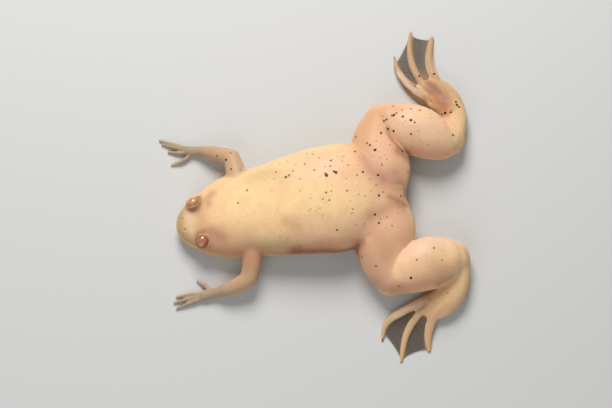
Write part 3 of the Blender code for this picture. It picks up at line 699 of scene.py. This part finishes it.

# Patches by picture point: paint, strength, radius, then x and y of each point of a line. Some are
# painted shade and some painted highlights, marked where they stand
patches = (
    ("butter", 0.75, 7, 240, 205, 262, 200, 285, 203, 312, 205, 350, 205),
    ("cream", 0.5, 4, 262, 180, 282, 186),
    ("moss", 0.4, 2.6, 252, 178, 268, 174, 284, 178),
    ("blush", 0.7, 6, 305, 162, 330, 160, 346, 168),
    ("peach", 0.35, 2, 333, 172, 340, 170, 346, 174),
    ("blush", 0.6, 5, 310, 232, 330, 230, 350, 225),
    ("fawn", 0.6, 2, 286, 222, 291, 224, 297, 227),
    ("moss", 0.5, 2.3, 252, 243, 262, 245, 272, 244, 283, 243),
    # Painted shade along the left flank, the side away from the light; the skin there is also
    # reddish brown of its own
    ("rustShade", 0.9, 3.6, 298, 252, 312, 252, 330, 251.5, 346, 251, 356, 250),
    ("rose", 0.5, 1.8, 318, 244, 334, 243, 352, 241),
    # More painted shade on the left flank, towards the head
    ("rustShade", 0.5, 2.6, 268, 253, 282, 253, 294, 252.5),
    # Painted shade along the lower edge of the head, on the side away from the light
    ("tan", 0.8, 3.4, 198, 246, 206, 249.5, 222, 253, 240, 254, 256, 254),
    ("mauve", 0.6, 3.4, 214, 243, 230, 248, 246, 250),
    ("fawn", 0.45, 4, 228, 236, 244, 238),
    ("mauve", 0.7, 1.5, 245, 257, 246.5, 262, 246, 268),
    ("mauve", 0.85, 2, 211, 231, 216, 234, 222, 238),
    ("mauve", 0.65, 1.5, 208, 205, 208, 198, 212, 194),
    ("fawn", 0.7, 2.4, 200, 214, 201, 221, 199, 227),
    # Painted highlight on the snout
    ("pearl", 0.5, 1.8, 190, 214, 189, 221, 191, 229),
    ("sage", 0.8, 2.1, 181.5, 212, 180, 220, 180.5, 229, 185, 238),
    ("tan", 0.5, 2, 190.5, 241, 196, 246, 204, 250.5),
    # Painted shade round the eyes: under and beside the right eye, and the ring round the left eye
    ("mauve", 0.5, 1.5, 186.5, 208, 190, 211, 196, 212),
    ("umber", 0.7, 0.95, 198.5, 196.5, 200.3, 200.5, 200, 204.5, 197.5, 208.5, 192.5, 210),
    ("mauve", 0.65, 1.2, 206, 231, 209.5, 235, 210.5, 240, 208.5, 245),
    ("umber", 0.55, 0.75, 195.8, 240, 196.5, 236, 199, 232.7, 203, 231.7),
    ("mauve", 0.7, 3, 366, 158, 372, 170, 384, 175, 394, 174),
    ("mauve", 0.75, 2.2, 384, 180, 390, 185, 398, 184),
    ("mauve", 0.75, 2.2, 404, 207, 394, 204, 384, 210, 372, 216),
    ("fawn", 0.7, 1.4, 396, 190, 403, 190, 405, 196),
    # Painted shade in the fold beside the vent
    ("umber", 0.42, 1.2, 391, 198, 396, 200, 401, 203, 406, 206),
    ("umber", 0.45, 0.6, 404, 186, 405, 191, 404, 197),
    ("butter", 0.5, 1.4, 408, 153, 408.5, 162, 408, 171, 406, 180),
    ("butter", 0.45, 1.3, 408, 210, 412, 220, 414, 232, 413, 240),
    # Painted shade in the crease under the right shank's fold
    ("rustShade", 0.6, 0.9, 387, 129, 390, 136, 395, 143, 401, 149, 408, 153),
    ("rustShade", 0.6, 1.6, 398, 151, 404, 155, 409, 160),
    ("tan", 0.45, 3, 372, 232, 382, 244, 386, 256),
    ("mauve", 0.45, 3.4, 365, 255, 374, 268, 382, 280),
    ("mauve", 0.6, 2.6, 374, 283, 388, 288, 402, 290),
    # Painted shade in the left groin
    ("rustShade", 0.55, 1.5, 355.5, 250, 358, 246.5, 363, 243),
    ("rose", 0.55, 2.4, 402, 288, 414, 288, 428, 284, 440, 280),
    ("butter", 0.45, 1.6, 398, 258, 397, 268, 400, 276),
    ("pearl", 0.6, 3.2, 418, 246, 432, 242, 448, 243),
    ("fawn", 0.45, 3, 432, 264, 444, 268, 452, 264),
    # Painted light: the left ankle made paler on its steep side
    ("butter", 0.6, 3.4, 450, 256, 459, 252, 464, 262, 463, 274),
    ("smoke", 0.25, 0.8, 465, 250, 467, 257, 467, 265),
    # Painted shade in the gap between the left shank and foot
    ("rustShade", 0.4, 1, 437, 285, 445, 281, 452, 277),
    # Painted light: the right ankle made paler on its steep side
    ("butter", 0.6, 3, 452, 146, 459, 132, 462, 118, 459, 106),
    ("smoke", 0.25, 0.9, 455, 148, 458.5, 142, 460, 136),
    ("rose", 0.5, 1.8, 413, 151, 424, 155, 438, 156.5, 448, 154),
    ("pearl", 0.35, 4, 395, 112, 410, 116, 430, 130),
    ("fawn", 0.5, 2.6, 355, 138, 361, 127, 370, 115),
    # Darker over the right knee: painted shade
    ("tan", 0.45, 5, 362, 142, 370, 126, 380, 114, 392, 109),
    # Painted shade in the hollow of the right foot, over its own brown
    ("rustShade", 0.75, 3, 433, 88, 440, 94, 444, 100, 446, 106),
    ("sage", 0.5, 1.8, 441, 80, 449, 86, 456, 93, 461, 101),
    ("tan", 0.4, 2, 438, 105, 443, 110, 449, 111),
    ("umber", 0.5, 1.3, 428, 84, 434, 90, 442, 95),
    ("umber", 0.45, 1, 427.5, 81.5, 430, 85, 434, 88),
    ("mauve", 0.3, 2, 448, 290, 440, 296, 430, 302),
    ("butter", 0.6, 3.4, 440, 300, 450, 294, 459, 286),
    # Painted sheen along the third toe of each foot
    ("pearl", 0.7, 0.9, 398, 74, 404, 82, 412, 90, 420, 96),
    ("pearl", 0.7, 1, 396, 316, 404, 311, 412, 306, 420, 302),
    ("umber", 0.55, 0.6, 400, 80.5, 404, 86, 410.5, 92),
    # Painted shade in the fork between the left foot's third and fourth toes
    ("rustShade", 0.5, 0.6, 418, 311, 421, 309, 425, 306),
)

# Flecks by picture point: x, y, radius, strength
flecks = (
    (286, 177, 0.42, 0.9), (289, 175.5, 0.35, 0.9), (293, 171, 0.28, 0.7), (300, 179, 0.25, 0.6),
    (276, 172, 0.36, 0.5), (274, 179, 0.3, 0.35), (287, 160, 0.28, 0.5), (280, 164, 0.3, 0.4),
    (296, 165, 0.25, 0.6), (305, 164, 0.28, 0.8), (307, 154, 0.25, 0.5), (313, 154, 0.3, 0.6),
    (319, 158, 0.35, 0.5), (314, 170, 0.3, 0.8), (331, 160.5, 0.35, 0.85), (330, 166, 0.35, 0.8),
    (326.5, 175.5, 0.5, 1), (325.5, 173.5, 0.35, 1), (336, 172.5, 0.5, 1), (334, 171.5, 0.35, 1),
    (320, 176.5, 0.22, 0.4), (343, 157, 0.25, 0.4), (342, 161, 0.25, 0.5), (348, 165, 0.3, 0.6),
    (355, 151.5, 0.38, 0.8), (363, 172, 0.35, 0.95), (357, 175, 0.28, 0.7), (378, 175, 0.38, 0.95),
    (370, 179, 0.3, 0.4), (382, 165, 0.3, 0.6), (376, 185, 0.3, 0.5), (383, 192, 0.3, 0.7),
    (379, 195.5, 0.36, 0.95), (347, 190.5, 0.33, 0.7), (359, 194, 0.25, 0.5), (365, 196, 0.28, 0.5),
    (326, 192.5, 0.35, 0.7), (331.5, 191, 0.28, 0.5), (331.5, 184.5, 0.22, 0.4),
    (329.5, 200, 0.35, 0.7), (323, 199, 0.3, 0.5), (311, 198, 0.22, 0.4), (310.5, 194, 0.22, 0.4),
    (300, 191, 0.28, 0.5), (272, 190, 0.28, 0.4), (247, 190.5, 0.36, 0.7), (238, 203, 0.33, 0.7),
    (353, 209, 0.3, 0.6), (352, 213, 0.28, 0.5), (375, 214.5, 0.38, 0.95), (380, 219, 0.26, 0.7),
    (379, 223, 0.35, 0.85), (387, 217, 0.28, 0.5), (392, 226, 0.3, 0.5), (337, 230, 0.33, 0.8),
    (401, 196, 0.35, 0.7), (405, 190, 0.28, 0.4), (408, 172, 0.33, 0.8), (356, 137, 0.35, 0.8),
    (367, 143, 0.33, 0.8), (370, 145, 0.4, 0.9), (375, 150, 0.42, 1), (376, 141, 0.28, 0.5),
    (381, 133, 0.4, 0.95), (390, 145, 0.28, 0.5), (393, 106, 0.28, 0.8), (402, 110, 0.3, 0.6),
    (411, 108.5, 0.3, 0.8), (420, 110, 0.33, 0.85), (394, 115, 0.42, 1), (396.5, 113, 0.3, 0.9),
    (392, 115.5, 0.3, 1), (402.6, 116.5, 0.38, 1), (411, 120, 0.42, 1), (415, 122.5, 0.33, 0.9),
    (386.5, 119.5, 0.35, 0.9), (384, 121, 0.33, 0.9), (383, 116, 0.25, 0.5), (388, 129, 0.38, 1),
    (393.5, 131, 0.38, 1), (411, 134, 0.36, 0.9), (453, 135, 0.36, 0.9), (456, 102, 0.35, 1),
    (457, 105, 0.42, 1), (459, 107, 0.38, 1), (445, 113, 0.42, 1), (442, 114.5, 0.3, 0.9),
    (451, 112.5, 0.38, 0.9), (431, 101, 0.3, 0.5), (419.3, 76, 0.38, 0.95), (434, 74, 0.38, 0.95),
    (412, 84, 0.25, 0.6), (415, 86, 0.33, 0.9), (402, 151, 0.33, 0.9), (430, 118, 0.28, 0.3),
    (226, 160, 0.42, 1), (231, 169, 0.33, 0.8), (217, 156, 0.32, 0.7), (231, 153, 0.3, 0.7),
    (226, 148.5, 0.3, 0.6), (245, 167.5, 0.33, 0.9), (240.5, 170, 0.28, 0.5), (362, 257, 0.3, 0.6),
    (376, 266, 0.33, 0.7), (434, 248, 0.38, 0.7), (417, 260, 0.36, 0.6), (442, 260, 0.33, 0.5),
    (411, 278, 0.42, 1), (399, 286, 0.28, 0.5), (430, 299, 0.3, 0.5),
)
fleckLayers = 4
stray = {
    "seed": 11, "count": 110, "radius": (0.12, 0.24), "strength": (0.25, 0.7),
    # On upper skin, by its slope, behind the head, and most of them round one place
    "slope": (-0.2, 0.5), "behind": (-26, -12), "least": 0.08, "middle": (22, 12, 14), "width": 20,
}
# Broad bands of colour: share, where the band begins and is full, paint
bands = {
    "rear": (0.55, 5, 24, "blush"),
    "thigh": (0.65, 1.35, 0.9, "peach"),
    "shank": (0.6, 1.2, 0.95, "blush"),
    "tarsus": (0.6, 1.3, 0.95, "fawn"),
    "arm": (0.8, 1.7, 0.9, "dove"),
    "belly": (0.8, 0.1, -0.5, "belly"),
}
handBand = {"share": 0.9, "along": (0.05, 0.6), "reach": (7.0, 4.5)}
toeBand = {"share": 0.85, "reach": (1.6, 1.0), "lessOnFoot": 0.7}
toeEdge = {"share": 0.5, "reach": (1.3, 1.0), "slope": (0.75, 0.3)}
# Share of the painted shade on the lids round the eyes
lidShadeShare = 0.42
# Painted shade in the skin's hollows: how deep a hollow must be to be fully darkened, and how it is
# softened
hollowShade = {"depth": 0.03, "softness": 0.5, "rounds": 3}  # where the skin is hollow it is darker


def linear(name):
    share = np.array(paints[name]) / 255
    return np.where(share <= 0.04045, share / 12.92, ((share + 0.055) / 1.055) ** 2.4)


def skinColours(piece, points, normals):
    # Broad bands by place on the body, then the patches, which fade with distance: each one
    # mixes its paint in by its share. Last comes painted shade on the lids round the eyes
    colours = np.tile(linear("cream"), (len(points), 1))

    def mixIn(share, name):
        colours[:] = colours + share[:, None] * (linear(name) - colours)

    def mixBand(band, value):
        share, low, high, name = bands[band]
        mixIn(share * smoothStep(low, high, value), name)

    mixBand("rear", points[:, 0])
    lidShade = np.zeros(len(points))
    for limbs in sides.values():
        depth = {name: limbDepth(points, limbs[name]) for name in ("thigh", "shank", "tarsus")}
        for limb, value in depth.items():
            mixBand(limb, value)
        foot = smoothStep(*bands["tarsus"][1:3], depth["tarsus"])
        arm = (limbDepth(points, limbs["upperArm"][1:]), limbDepth(points, limbs["forearm"]))
        mixBand("arm", np.minimum(*arm))
        elbow, tip = np.array(limbs["forearm"][0][:3]), np.array(limbs["fingers"][2][-1])
        along = (points - elbow) @ (tip - elbow) / ((tip - elbow) @ (tip - elbow))
        away = farFrom(points, [elbow, (elbow + tip) / 2, tip])
        hand = smoothStep(*handBand["along"], along) * smoothStep(*handBand["reach"], away)
        mixIn(handBand["share"] * hand, "mist")
        for path in limbs["toes"]:
            away = farFrom(points, path)
            toe = toeBand["share"] * smoothStep(*toeBand["reach"], away)
            mixIn(toe * (1 - toeBand["lessOnFoot"] * foot), limbs["toePaint"])
            edge = smoothStep(*toeEdge["slope"], np.abs(normals[:, 2]))
            edge *= smoothStep(*toeEdge["reach"], away)
            mixIn(toeEdge["share"] * edge * (1 - foot), "tan")
        # Painted shade on the lids round each eye, fading with the distance from the eyeball
        lid = np.maximum(lengthsOf(points - limbs["eye"]) - eyeball["radius"], 0)
        lidShade = np.maximum(lidShade, hill(lid, eyeball["lidShadeWidth"]))
    mixBand("belly", normals[:, 2])
    for name, strength, radius, *pixels in patches:
        mixIn(strength * hill(farFrom(points, onSkin(piece, pixels)), radius), name)
    mixIn(lidShadeShare * lidShade, "umber")
    return colours


def fleckPlaces(piece, points, normals):
    # The flecks of the picture, then small stray ones, most of them on the right hip and leg
    known = [(*place, *fleck[2:]) for fleck in flecks for place in onSkin(piece, fleck[:2])]
    dice = np.random.default_rng(stray["seed"])
    edges = edgesOf(piece.data)
    lengths = lengthsOf(points[edges[:, 0]] - points[edges[:, 1]])
    share = np.bincount(edges.ravel(), np.repeat(lengths, 2) ** 2) / np.bincount(edges.ravel())
    wanted = smoothStep(*stray["slope"], normals[:, 2])
    wanted = wanted * smoothStep(*stray["behind"], points[:, 0]) * share
    wanted *= stray["least"] + hill(lengthsOf(points - stray["middle"]), stray["width"])
    chosen = dice.choice(len(points), stray["count"], replace=False, p=wanted / wanted.sum())
    drawn = [dice.uniform(*stray[kind], len(chosen)) for kind in ("radius", "strength")]
    return np.concatenate((known, np.column_stack((points[chosen], *drawn))))


def writeAttribute(mesh, name, values):
    # One, three or four (a colour) numbers for each point
    values = np.ascontiguousarray(values, np.float32).reshape(len(mesh.vertices), -1)
    kinds = {1: ("FLOAT", "value"), 3: ("FLOAT_VECTOR", "vector"), 4: ("FLOAT_COLOR", "color")}
    kind, slotName = kinds[values.shape[1]]
    mesh.attributes.new(name, kind, "POINT").data.foreach_set(slotName, values.ravel())


def paintSkin(piece):
    # Each point keeps the way to the nearest fleck of every layer, for sharp edges in the
    # material. Flecks that lie close together are in different layers.
    mesh = piece.data
    points, normals, edges = pointsOf(mesh), normalsOf(mesh), edgesOf(mesh)
    colours = skinColours(piece, points, normals)
    # The painted colours, with painted shade and painted highlights among them
    writeAttribute(mesh, "tintAndShade", np.column_stack((colours, np.ones(len(points)))))
    spots = fleckPlaces(piece, points, normals)
    apart = np.sqrt(squaresTo(spots[:, :3], spots[:, :3]))
    layers = np.full(len(spots), -1)
    for number in range(len(spots)):
        room = [apart[number, layers == layer].min(initial=99.0) for layer in range(fleckLayers)]
        layers[number] = int(np.argmax(room))
    for layer in range(fleckLayers):
        mine = spots[layers == layer]
        nearest = mine[squaresTo(points, mine[:, :3]).argmin(axis=1)]
        way = points - nearest[:, :3]
        sizes = np.column_stack((lengthsOf(way), nearest[:, 3:]))  # reach, radius, strength
        writeAttribute(mesh, f"fleckWay{layer}", way)
        writeAttribute(mesh, f"fleckSizes{layer}", sizes)
    # Painted shade in the skin's hollows: how far each point lies below the mean of its neighbours,
    # softened
    hollow = ((neighbourMean(points, edges) - points) * normals).sum(axis=1)
    soft = np.full(len(points), hollowShade["softness"])
    hollow = relaxed(hollow[:, None], edges, soft, hollowShade["rounds"])[:, 0]
    writeAttribute(mesh, "hollow", smoothStep(0.0, hollowShade["depth"], hollow))


work = {}  # the nodes of the material that is being made


def newMaterial(name):
    material = bpy.data.materials.new(name)
    material.use_nodes = True
    work["tree"] = material.node_tree
    return material


def shaderOf(material):
    return material.node_tree.nodes["Principled BSDF"]


def setSockets(node, inputs):
    # A socket is linked, a plain value is written into the input
    for key, value in inputs.items():
        if isinstance(value, bpy.types.NodeSocket):
            work["tree"].links.new(value, node.inputs[key])
        else:
            node.inputs[key].default_value = value


def addNode(kind, inputs, **settings):
    node = work["tree"].nodes.new("ShaderNode" + kind)
    for key, value in settings.items():
        setattr(node, key, value)
    setSockets(node, inputs)
    return node


def readAttribute(name, output="Fac"):
    settings = {"attribute_name": name, "attribute_type": "GEOMETRY"}
    return addNode("Attribute", {}, **settings).outputs[output]


def mixColour(share, first, second, blend="MIX"):
    node = addNode("Mix", {0: share, 6: first, 7: second}, data_type="RGBA", blend_type=blend)
    return node.outputs[2]


def calculate(operation, first, second=0.0, clamp=False):
    inputs = {0: first, 1: second}
    return addNode("Math", inputs, operation=operation, use_clamp=clamp).outputs[0]


def times(first, second):
    return calculate("MULTIPLY", first, second)


def vectorMath(operation, inputs, output=0):
    return addNode("VectorMath", inputs, operation=operation).outputs[output]


def remap(value, low, high, start=0.0, end=1.0):
    inputs = {"Value": value, "From Min": low, "From Max": high, "To Min": start, "To Max": end}
    return addNode("MapRange", inputs, interpolation_type="SMOOTHSTEP").outputs["Result"]


def noise(scale, detail=3.0, roughness=0.55, output="Fac"):
    place = addNode("TexCoord", {}).outputs["Object"]
    inputs = {"Vector": place, "Scale": scale, "Detail": detail, "Roughness": roughness}
    return addNode("TexNoise", inputs).outputs[output]


def colourOf(name):
    return (*linear(name), 1.0)


def finished(material, inputs, height, strength, distance):
    # The shader's inputs, and the fine relief
    bump = {"Height": height, "Strength": strength, "Distance": distance * mm}
    inputs["Normal"] = addNode("Bump", bump).outputs["Normal"]
    setSockets(shaderOf(material), inputs)
    return material


def fleckMask(layer, bent):
    # Inside where the way to the nearest fleck, bent a little by noise, is shorter than its radius
    sizes = {0: readAttribute(f"fleckSizes{layer}", "Vector")}
    reach, radius, strength = addNode("SeparateXYZ", sizes).outputs
    way = vectorMath("ADD", {0: readAttribute(f"fleckWay{layer}", "Vector"), 1: bent})
    share = calculate("DIVIDE", vectorMath("LENGTH", {0: way}, "Value"), radius)
    inside = times(remap(share, 0.75, 1.35, 1.0, 0.0), strength)
    return times(inside, remap(reach, 0.7, 0.9, 1.0, 0.0))


def allFlecks():
    bend = noise(1500.0, 2.0, output="Color")
    middle = vectorMath("SUBTRACT", {0: bend, 1: (0.5, 0.5, 0.5)})
    bent = vectorMath("SCALE", {0: middle, "Scale": 0.5})
    mask = fleckMask(0, bent)
    for layer in range(1, fleckLayers):
        mask = calculate("MAXIMUM", mask, fleckMask(layer, bent))
    return mask


def skinMaterial():
    # Clouds, veins and grain of three noises over the painted colours and painted shade, then
    # painted shade in the hollows, and the flecks
    material = newMaterial("wetSkin")
    colour = readAttribute("tintAndShade", "Color")
    layers = (
        (remap(noise(260.0), 0.38, 0.68), 0.2, "fawn"),
        (remap(noise(620.0, 4.0, 0.65), 0.52, 0.72), 0.2, "rose"),
        (remap(noise(2300.0, 2.0), 0.35, 0.7), 0.1, "tan"),
        # Painted shade in the skin's hollows
        (readAttribute("hollow"), 0.45, "rustShade"),
    )
    for mask, share, name in layers:
        colour = mixColour(times(mask, share), colour, colourOf(name))
    inputs = {
        "Base Color": mixColour(allFlecks(), colour, colourOf("soot")),
        "Roughness": remap(noise(900.0), 0.3, 0.7, 0.4, 0.58),
        "Subsurface Weight": 0.2,
        "Subsurface Radius": (1.0, 0.42, 0.24),
        "Subsurface Scale": 1.0 * mm,
        "Specular IOR Level": 0.17,
        "Coat Weight": 0.1,
        "Coat Roughness": 0.2,
        "Coat IOR": 1.36,
    }
    fine = times(noise(3200.0), 0.4)
    height = calculate("ADD", fine, noise(900.0, 2.0))
    return finished(material, inputs, height, 0.45, 0.1)


# Colours of the eye by angle from the gaze: dark red pupil, gold edge, copper iris, brown rim
eyeRings = (
    (0.0, (0.56, 0.215, 0.1)),
    (0.15, (0.58, 0.225, 0.1)),
    (0.2, (0.74, 0.295, 0.125)),
    (0.36, (0.7, 0.28, 0.12)),
    (0.43, (0.58, 0.24, 0.105)),
    (0.5, (0.42, 0.18, 0.083)),
    (0.75, (0.45, 0.195, 0.09)),
    (1.0, (0.48, 0.21, 0.1)),
)


def eyeMaterial():
    # The rings, with fine rays in the iris, painted shade that darkens the left eye and a painted
    # glint of warm light
    material = newMaterial("wetEye")
    rays = {"Vector": readAttribute("rays", "Vector"), "Scale": 5.0, "Detail": 3.0}
    streaks = addNode("TexNoise", rays).outputs["Fac"]
    angle = readAttribute("gazeAngle")
    wobble = calculate("ADD", angle, times(streaks, 0.06))
    ramp = addNode("ValToRGB", {"Fac": wobble})
    for place, _ in eyeRings[1:-1]:
        ramp.color_ramp.elements.new(place)
    for element, (place, shade) in zip(ramp.color_ramp.elements, eyeRings):
        element.position, element.color = place, (*shade, 1.0)
    rings = ramp.outputs["Color"]
    fine = remap(streaks, 0.35, 0.7, 0.0, 0.5)
    colour = mixColour(fine, rings, (0.55, 0.25, 0.1, 1.0), "MULTIPLY")
    colour = mixColour(0.6, colour, rings)
    # Painted shade: the left eye is darkened, the right one not
    shade = readAttribute("eyeShade")
    colour = mixColour(shade, colour, (0.62, 0.6, 0.58, 1.0), "MULTIPLY")
    inputs = {
        "Base Color": mixColour(readAttribute("glow"), colour, (0.95, 0.5, 0.18, 1.0)),
        "Roughness": remap(streaks, 0.3, 0.7, 0.18, 0.3),
        "Subsurface Weight": 0.15,
        "Subsurface Radius": (1.0, 0.4, 0.2),
        "Subsurface Scale": 0.5 * mm,
        "Coat Weight": 0.7,
        "Coat Roughness": 0.08,
    }
    return finished(material, inputs, streaks, 0.2, 0.03)


def webMaterial():
    # Clear grey film, thicker and paler towards the toes, with fine veins
    material = newMaterial("toeWeb")
    rim, along = readAttribute("fromToe"), readAttribute("along")
    veins = remap(noise(700.0, 4.0, 0.7), 0.5, 0.7)
    middle = mixColour(remap(along, 0.2, 0.6), colourOf("tan"), colourOf("slate"))
    colour = mixColour(remap(rim, 0.0, 0.7), colourOf("fawn"), middle)
    film = remap(rim, 0.0, 0.7, 0.9, 0.52)
    inputs = {
        "Base Color": mixColour(times(veins, 0.3), colour, colourOf("umber")),
        "Alpha": calculate("ADD", film, times(veins, 0.12), True),
        "Roughness": remap(veins, 0.0, 1.0, 0.5, 0.62),
        "Specular IOR Level": 0.25,
    }
    return finished(material, inputs, noise(900.0, 2.0), 0.25, 0.04)


def clawMaterial():
    # Horn that darkens towards the tip, with a fine cloud of noise
    material = newMaterial("horn")
    cloud = noise(2500.0)
    tip = remap(readAttribute("along"), 0.35, 0.95)
    shade = calculate("ADD", tip, times(cloud, 0.2), True)
    inputs = {
        "Base Color": mixColour(shade, colourOf("fawn"), colourOf("umber")),
        "Roughness": remap(cloud, 0.3, 0.7, 0.3, 0.5),
    }
    return finished(material, inputs, cloud, 0.3, 0.02)


def makeEye(side, limbs, material):
    # A ball turned to the gaze: the radius plus a bell curve of the angle, which is the clear
    # bulge over the pupil
    gaze = unitOf(limbs["gaze"])
    across = unitOf(np.cross(up, gaze))
    rise = np.cross(gaze, across)
    angle = np.linspace(eyeball["poleGap"], pi - eyeball["poleGap"], eyeball["rings"])[::-1, None]
    turn = turnsOf(eyeball["spokes"])[None]
    radius = eyeball["radius"] + eyeball["bulge"] * hill(angle, radians(eyeball["bulgeWidth"]))
    unit = (
        np.cos(angle)[..., None] * gaze
        + (np.sin(angle) * np.cos(turn))[..., None] * across
        + (np.sin(angle) * np.sin(turn))[..., None] * rise
    )
    piece = closedMesh("eyeball" + side, [np.array(limbs["eye"]) + radius[..., None] * unit])
    mesh = piece.data
    offset = unitOf(pointsOf(mesh) - limbs["eye"])
    fromGaze = anglesFrom(gaze, offset)
    # The painted glint of warm light
    glow = hill(anglesFrom(unitOf(eyeball["glow"]), offset), radians(eyeball["glowWidth"]))
    sideways = np.stack((offset @ across, offset @ rise), axis=1)
    sideways /= np.maximum(lengthsOf(sideways)[:, None], 1e-6)
    writeAttribute(mesh, "gazeAngle", fromGaze / (pi / 2) / limbs["iris"])
    writeAttribute(mesh, "glow", eyeball["glowShare"] * glow)
    writeAttribute(mesh, "eyeShade", np.full(len(offset), limbs["eyeShade"]))
    writeAttribute(mesh, "rays", np.column_stack((sideways, eyeball["rayStretch"] * fromGaze)))
    mesh.materials.append(material)
    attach(piece, "root")
    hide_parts("eye_" + side.lower())


web = {
    "start": 0.12, "reach": (0.9, 0.92, 0.95, 0.97, 0.97),  # along each toe
    "hollow": 0.03, "sag": 0.3, "wave": 0.03, "waves": 5, "lean": 1.5,
    "narrow": 4,  # the width under which the sag fades
    "lowest": 0.12, "rim": 2.6, "thick": 0.14, "grid": (46, 19),  # along and across
}


def webGrid(inner, outer, reach):
    # Straight lines from toe to toe, sunk between them by a parabola and gathered in low waves
    along, across = web["grid"]
    run, turn = np.linspace(web["start"], 1, along), np.linspace(0, 1, across)
    u, v = np.meshgrid(run, turn, indexing="ij")
    arch = 4 * v * (1 - v)
    reached = u * (1 - web["hollow"] * arch * u)
    lines = []
    for share, path in zip(reach, (inner, outer)):
        knots = lengthsAlong(path)
        lines.append(curveThrough(reached * share * knots[-1], knots, path))
    points = lines[0] * (1 - v[..., None]) + lines[1] * v[..., None]
    width = lengthsOf(lines[0] - lines[1])
    waves = web["wave"] * np.sin(v * web["waves"] * pi + web["lean"] * u) * arch
    points[..., 2] += (waves - web["sag"] * arch) * np.minimum(width / web["narrow"], 1)
    points[..., 2] = np.maximum(points[..., 2], web["lowest"])
    return points, np.minimum(v, 1 - v) * width / web["rim"], u


def makeWebs(side, limbs, material):
    parts, faces = [], []
    along, across = web["grid"]
    for number in range(4):
        toes = limbs["toes"][number : number + 2]
        grid, rim, run = webGrid(*toes, web["reach"][number : number + 2])
        parts.append(np.concatenate((grid, rim[..., None], run[..., None]), axis=-1))
        corner = np.arange(along * across).reshape(along, across) + number * along * across
        loops = (corner[:-1, :-1], corner[1:, :-1], corner[1:, 1:], corner[:-1, 1:])
        quads = np.stack(loops, axis=-1).reshape(-1, 4)
        i, j = along // 2, across // 2
        bend = np.cross(grid[i + 1, j] - grid[i, j], grid[i, j + 1] - grid[i, j])
        faces += (quads if bend[2] > 0 else quads[:, ::-1]).tolist()
    table = np.reshape(parts, (-1, 5))  # x, y, z, way from the toe, way along it
    piece = meshOf("toeWebs" + side, table[:, :3], faces)
    writeAttribute(piece.data, "fromToe", table[:, 3])
    writeAttribute(piece.data, "along", table[:, 4])
    wall = piece.modifiers.new("thickness", "SOLIDIFY")
    wall.thickness = web["thick"] * mm
    wall.offset = 0.0
    appliedMesh(piece)
    piece.data.materials.append(material)
    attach(piece, "root")


claw = {
    "along": (0.1, 0.8, 1.6), "heights": (0.5, 0.46, 0.2), "radii": (0.4, 0.33, 0.1),
    "grid": (30, 20),  # rings and spokes
}


def makeClaw(side, number, path, material):
    # A cone with an oval section, carried on from the toe and down to the floor
    end, before = np.array(path[-1], float), np.array(path[-2], float)
    forward = unitOf((end - before) * (1, 1, 0))
    rows = []
    for along, height, radius in zip(claw["along"], claw["heights"], claw["radii"]):
        x, y, _ = end + forward * along
        rows.append((x, y, height, radius, radius))
    piece = closedMesh(f"claw{side}{number}", [sweptForm(rows, *claw["grid"])])
    root, tip = claw["radii"][0], claw["along"][-1]
    share = ((pointsOf(piece.data) - end) @ forward + root) / (tip + root)
    writeAttribute(piece.data, "along", share)
    piece.data.materials.append(material)
    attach(piece, "root")
    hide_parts(f"claw_{side.lower()}_{number}")


skinPiece = makeSkin()
print("skin shaped:", len(skinPiece.data.polygons), "faces")
paintSkin(skinPiece)
skinPiece.data.materials.clear()
skinPiece.data.materials.append(skinMaterial())
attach(skinPiece, "root")
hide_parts(*[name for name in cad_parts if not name.startswith(("eye", "claw"))])
print("skin painted")
eyeGlaze, webFilm, hornPaint = eyeMaterial(), webMaterial(), clawMaterial()
for side, limbs in sides.items():
    makeEye(side, limbs, eyeGlaze)
    makeWebs(side, limbs, webFilm)
    for number in range(3):
        makeClaw(side, number + 1, limbs["toes"][number], hornPaint)
print("eyes, webs and claws made")

studio = {
    "floorReach": 900,
    "floorHeight": -0.03,
    "floorPaint": {"Base Color": (0.62, 0.62, 0.61, 1), "Roughness": 0.7},
    "lit": (2, -2, 5),  # where both lights point
    "air": {"Color": (0.95, 0.97, 1.0, 1), "Strength": 0.22},
    # place, size, power, colour
    "keyLight": ((-60, 400, 430), 340, 3.6, (1.0, 0.98, 0.95)),
    "fillLight": ((-120, -380, 300), 400, 0.75, (0.93, 0.96, 1.0)),
}


def makeFloor():
    edge, height = studio["floorReach"], studio["floorHeight"]
    corners = [(x * edge, y * edge, height) for x, y in ((-1, -1), (1, -1), (1, 1), (-1, 1))]
    floor = meshOf("floor", np.array(corners, float), [(0, 1, 2, 3)])
    material = newMaterial("floorPaint")
    setSockets(shaderOf(material), studio["floorPaint"])
    floor.data.materials.append(material)


def placed(name, data, place):
    thing = bpy.data.objects.new(name, data)
    bpy.context.scene.collection.objects.link(thing)
    thing.location = Vector(place) * mm
    return thing


def makeLight(name):
    place, size, power, colour = studio[name]
    light = bpy.data.lights.new(name, "AREA")
    light.shape = "DISK"
    light.size = size * mm
    light.energy = power
    light.color = colour
    lamp = placed(name, light, place)
    way = Vector(studio["lit"]) * mm - lamp.location
    lamp.rotation_euler = way.to_track_quat("-Z", "Y").to_euler()


def makeCamera():
    data = bpy.data.cameras.new("camera")
    data.lens = view["lens"]
    data.sensor_width = view["sensor"]
    data.clip_start, data.clip_end = view["clip"]
    camera = placed("camera", data, view["place"])
    camera.rotation_euler = (radians(view["tilt"]), 0, 0)
    bpy.context.scene.camera = camera


makeFloor()
makeLight("keyLight")
makeLight("fillLight")
makeCamera()
bpy.context.scene.view_settings.view_transform = "Standard"
world = bpy.data.worlds.new("room")
world.use_nodes = True
setSockets(world.node_tree.nodes["Background"], studio["air"])
bpy.context.scene.world = world
